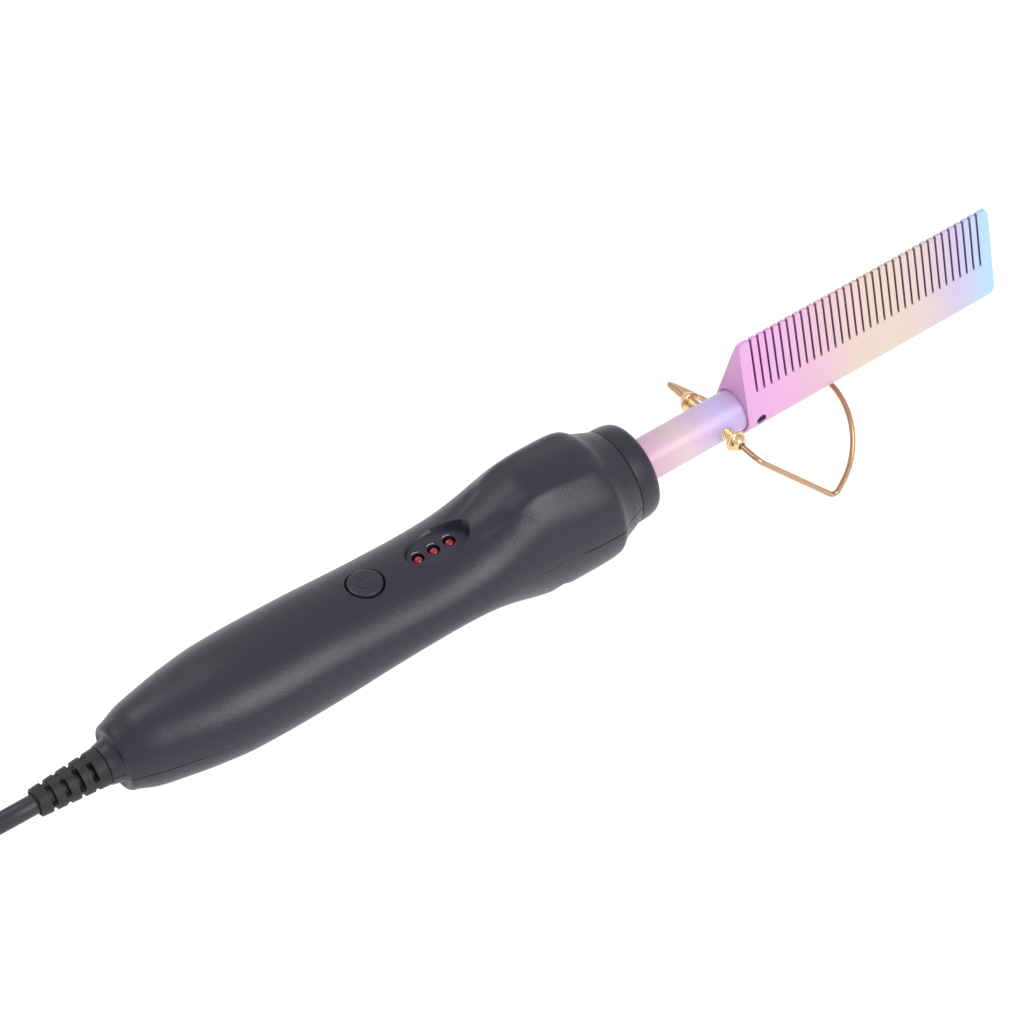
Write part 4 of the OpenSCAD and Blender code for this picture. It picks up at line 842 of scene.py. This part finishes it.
def loop_points(share, y):
    """Points of the loop: a share of the way up from the foot to the loop's front, at y."""
    rise = np.array(WIRE_FOOT) + (np.array(LOOP_FRONT) - WIRE_FOOT) * share[:, None]
    return np.stack([rise[:, 0], y, rise[:, 2]], -1)


swing = np.radians(np.linspace(0, 90, 60))
loop = loop_points(LOOP_STRAIGHT + (1 - LOOP_STRAIGHT) * np.sin(swing), WIRE_FOOT[1] * np.cos(swing))
wire_start = [0, WIRE_IN, 0]
wire_side = np.concatenate([[wire_start], fillet(wire_start, WIRE_BEND, WIRE_FOOT, BEND_R, BEND_STEPS),
                            fillet(WIRE_BEND, WIRE_FOOT, loop[0], FOOT_R, BEND_STEPS), loop])
wire_run = np.concatenate([wire_side, wire_side[-2::-1] * [1, -1, 1]]) + [HINGE_X, 0, 0]

# Plated wire: brownish gold, satin, with draw marks
plated = metal("gold_plated_wire", "#b0886a", "#cba98a", 1300.0, 3.0, 0.26, 0.4)
wire = make_piece("stand_wire_bent", "stand", "wire_gold", plated,
                  skin(seat(sweep(evenly(wire_run, 0.45), WIRE_R, 24)), caps=(True, True)))
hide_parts("stand_wire")

# ---- Pieces inside the handle --------------------------------------------------------------------
# Out of sight in the photograph's view: screws, board and its parts, wiring,
# clamp, bush, clip and heater core, which keep the shapes of the CAD nodes.
for name, low, high, scale, roughness, metallic, nodes in (
        ("zinc_plated_steel", "#8f9194", "#a7a9ab", 900.0, 0.35, 1.0,
         ("shell_screws", "clamp_screws", "retaining_clip", "thermal_fuse")),
        ("black_plastic", "#1b1b1d", "#29292b", 700.0, 0.5, 0.0,
         ("switch_plunger", "tact_switch", "control_chip", "triac")),
        ("board_laminate", "#27603a", "#347a49", 400.0, 0.4, 0.0, ("circuit_board",)),
        ("dipped_film", "#a8761f", "#c49036", 600.0, 0.35, 0.0, ("film_capacitor",)),
        ("fired_ceramic", "#cfc3a4", "#e6ddc8", 500.0, 0.5, 0.0,
         ("dropper_resistor", "fuse_link", "heater_core")),
        ("brown_wire_pvc", "#5d3f27", "#704d33", 500.0, 0.45, 0.0, ("mains_wires",)),
        ("glass_sleeving", "#dcd7c8", "#eeeade", 1500.0, 0.7, 0.0, ("heater_leads",)),
        ("natural_nylon", "#d3d0c6", "#e3e0d8", 300.0, 0.4, 0.0, ("cord_clamp", "tube_bush"))):
    noise = (scale, 3.0)
    finish_nodes(moulded(name, low, high, noise, noise, 0.15, roughness, metallic=metallic), *nodes)
finish_nodes(jacket, "cord_inner")

# ---- Floor and light ---------------------------------------------------------------------------------
# A white light table that hides every shadow, soft light from all round, one
# large soft box beside the camera and a small one behind the grip.
FLOOR_HALF, FLOOR_GLOW, ROOM_GLOW = 4.0, 0.92, 0.82

paper, tree = blank("white_paper")
where = add(tree, "ShaderNodeTexCoord").outputs["Object"]
fibre = add(tree, "ShaderNodeTexNoise", {"Vector": where, "Scale": 60.0, "Detail": 2.0})
tint = add(tree, "ShaderNodeMix", {0: fibre.outputs["Fac"], 6: hue("#8e8e8e"), 7: hue("#929292")},
           data_type="RGBA")
finish = add(tree, "ShaderNodeBsdfPrincipled", {
    "Base Color": tint.outputs[2], "Roughness": 0.9, "Emission Color": hue("#ffffff"),
    "Emission Strength": FLOOR_GLOW})
add(tree, "ShaderNodeOutputMaterial", {"Surface": finish.outputs["BSDF"]})
corners = np.array([[[-1, -1, 0], [1, -1, 0]], [[-1, 1, 0], [1, 1, 0]]], float) * FLOOR_HALF
mesh = bpy.data.meshes.new("floor")
mesh.from_pydata(corners.reshape(-1, 3).tolist(), [], [[0, 1, 3, 2]])
mesh.materials.append(paper)
floor = bpy.data.objects.new("floor", mesh)
bpy.context.scene.collection.objects.link(floor)

world = bpy.data.worlds.new("studio")
world.use_nodes = True
world.node_tree.nodes["Background"].inputs["Color"].default_value = hue("#ffffff")
world.node_tree.nodes["Background"].inputs["Strength"].default_value = ROOM_GLOW
bpy.context.scene.world = world


def soft_box(name, place, aim, size, power):
    """A square area light that faces a point."""
    lamp = bpy.data.lights.new(name, "AREA")
    lamp.shape, lamp.size, lamp.energy = "SQUARE", size, power
    box = bpy.data.objects.new(name, lamp)
    bpy.context.scene.collection.objects.link(box)
    box.location = place
    box.rotation_mode = "QUATERNION"
    box.rotation_quaternion = (Vector(aim) - Vector(place)).to_track_quat("-Z", "Y")
    return box


key = soft_box("key_box", (0.1, -0.76, 0.66), (0, 0, 0.02), 0.5, 4.8)
back = soft_box("back_box", (-0.19, 0.24, 0.42), (-0.12, 0, 0.02), 0.15, 0.3)
bpy.context.scene.view_settings.view_transform = "Standard"
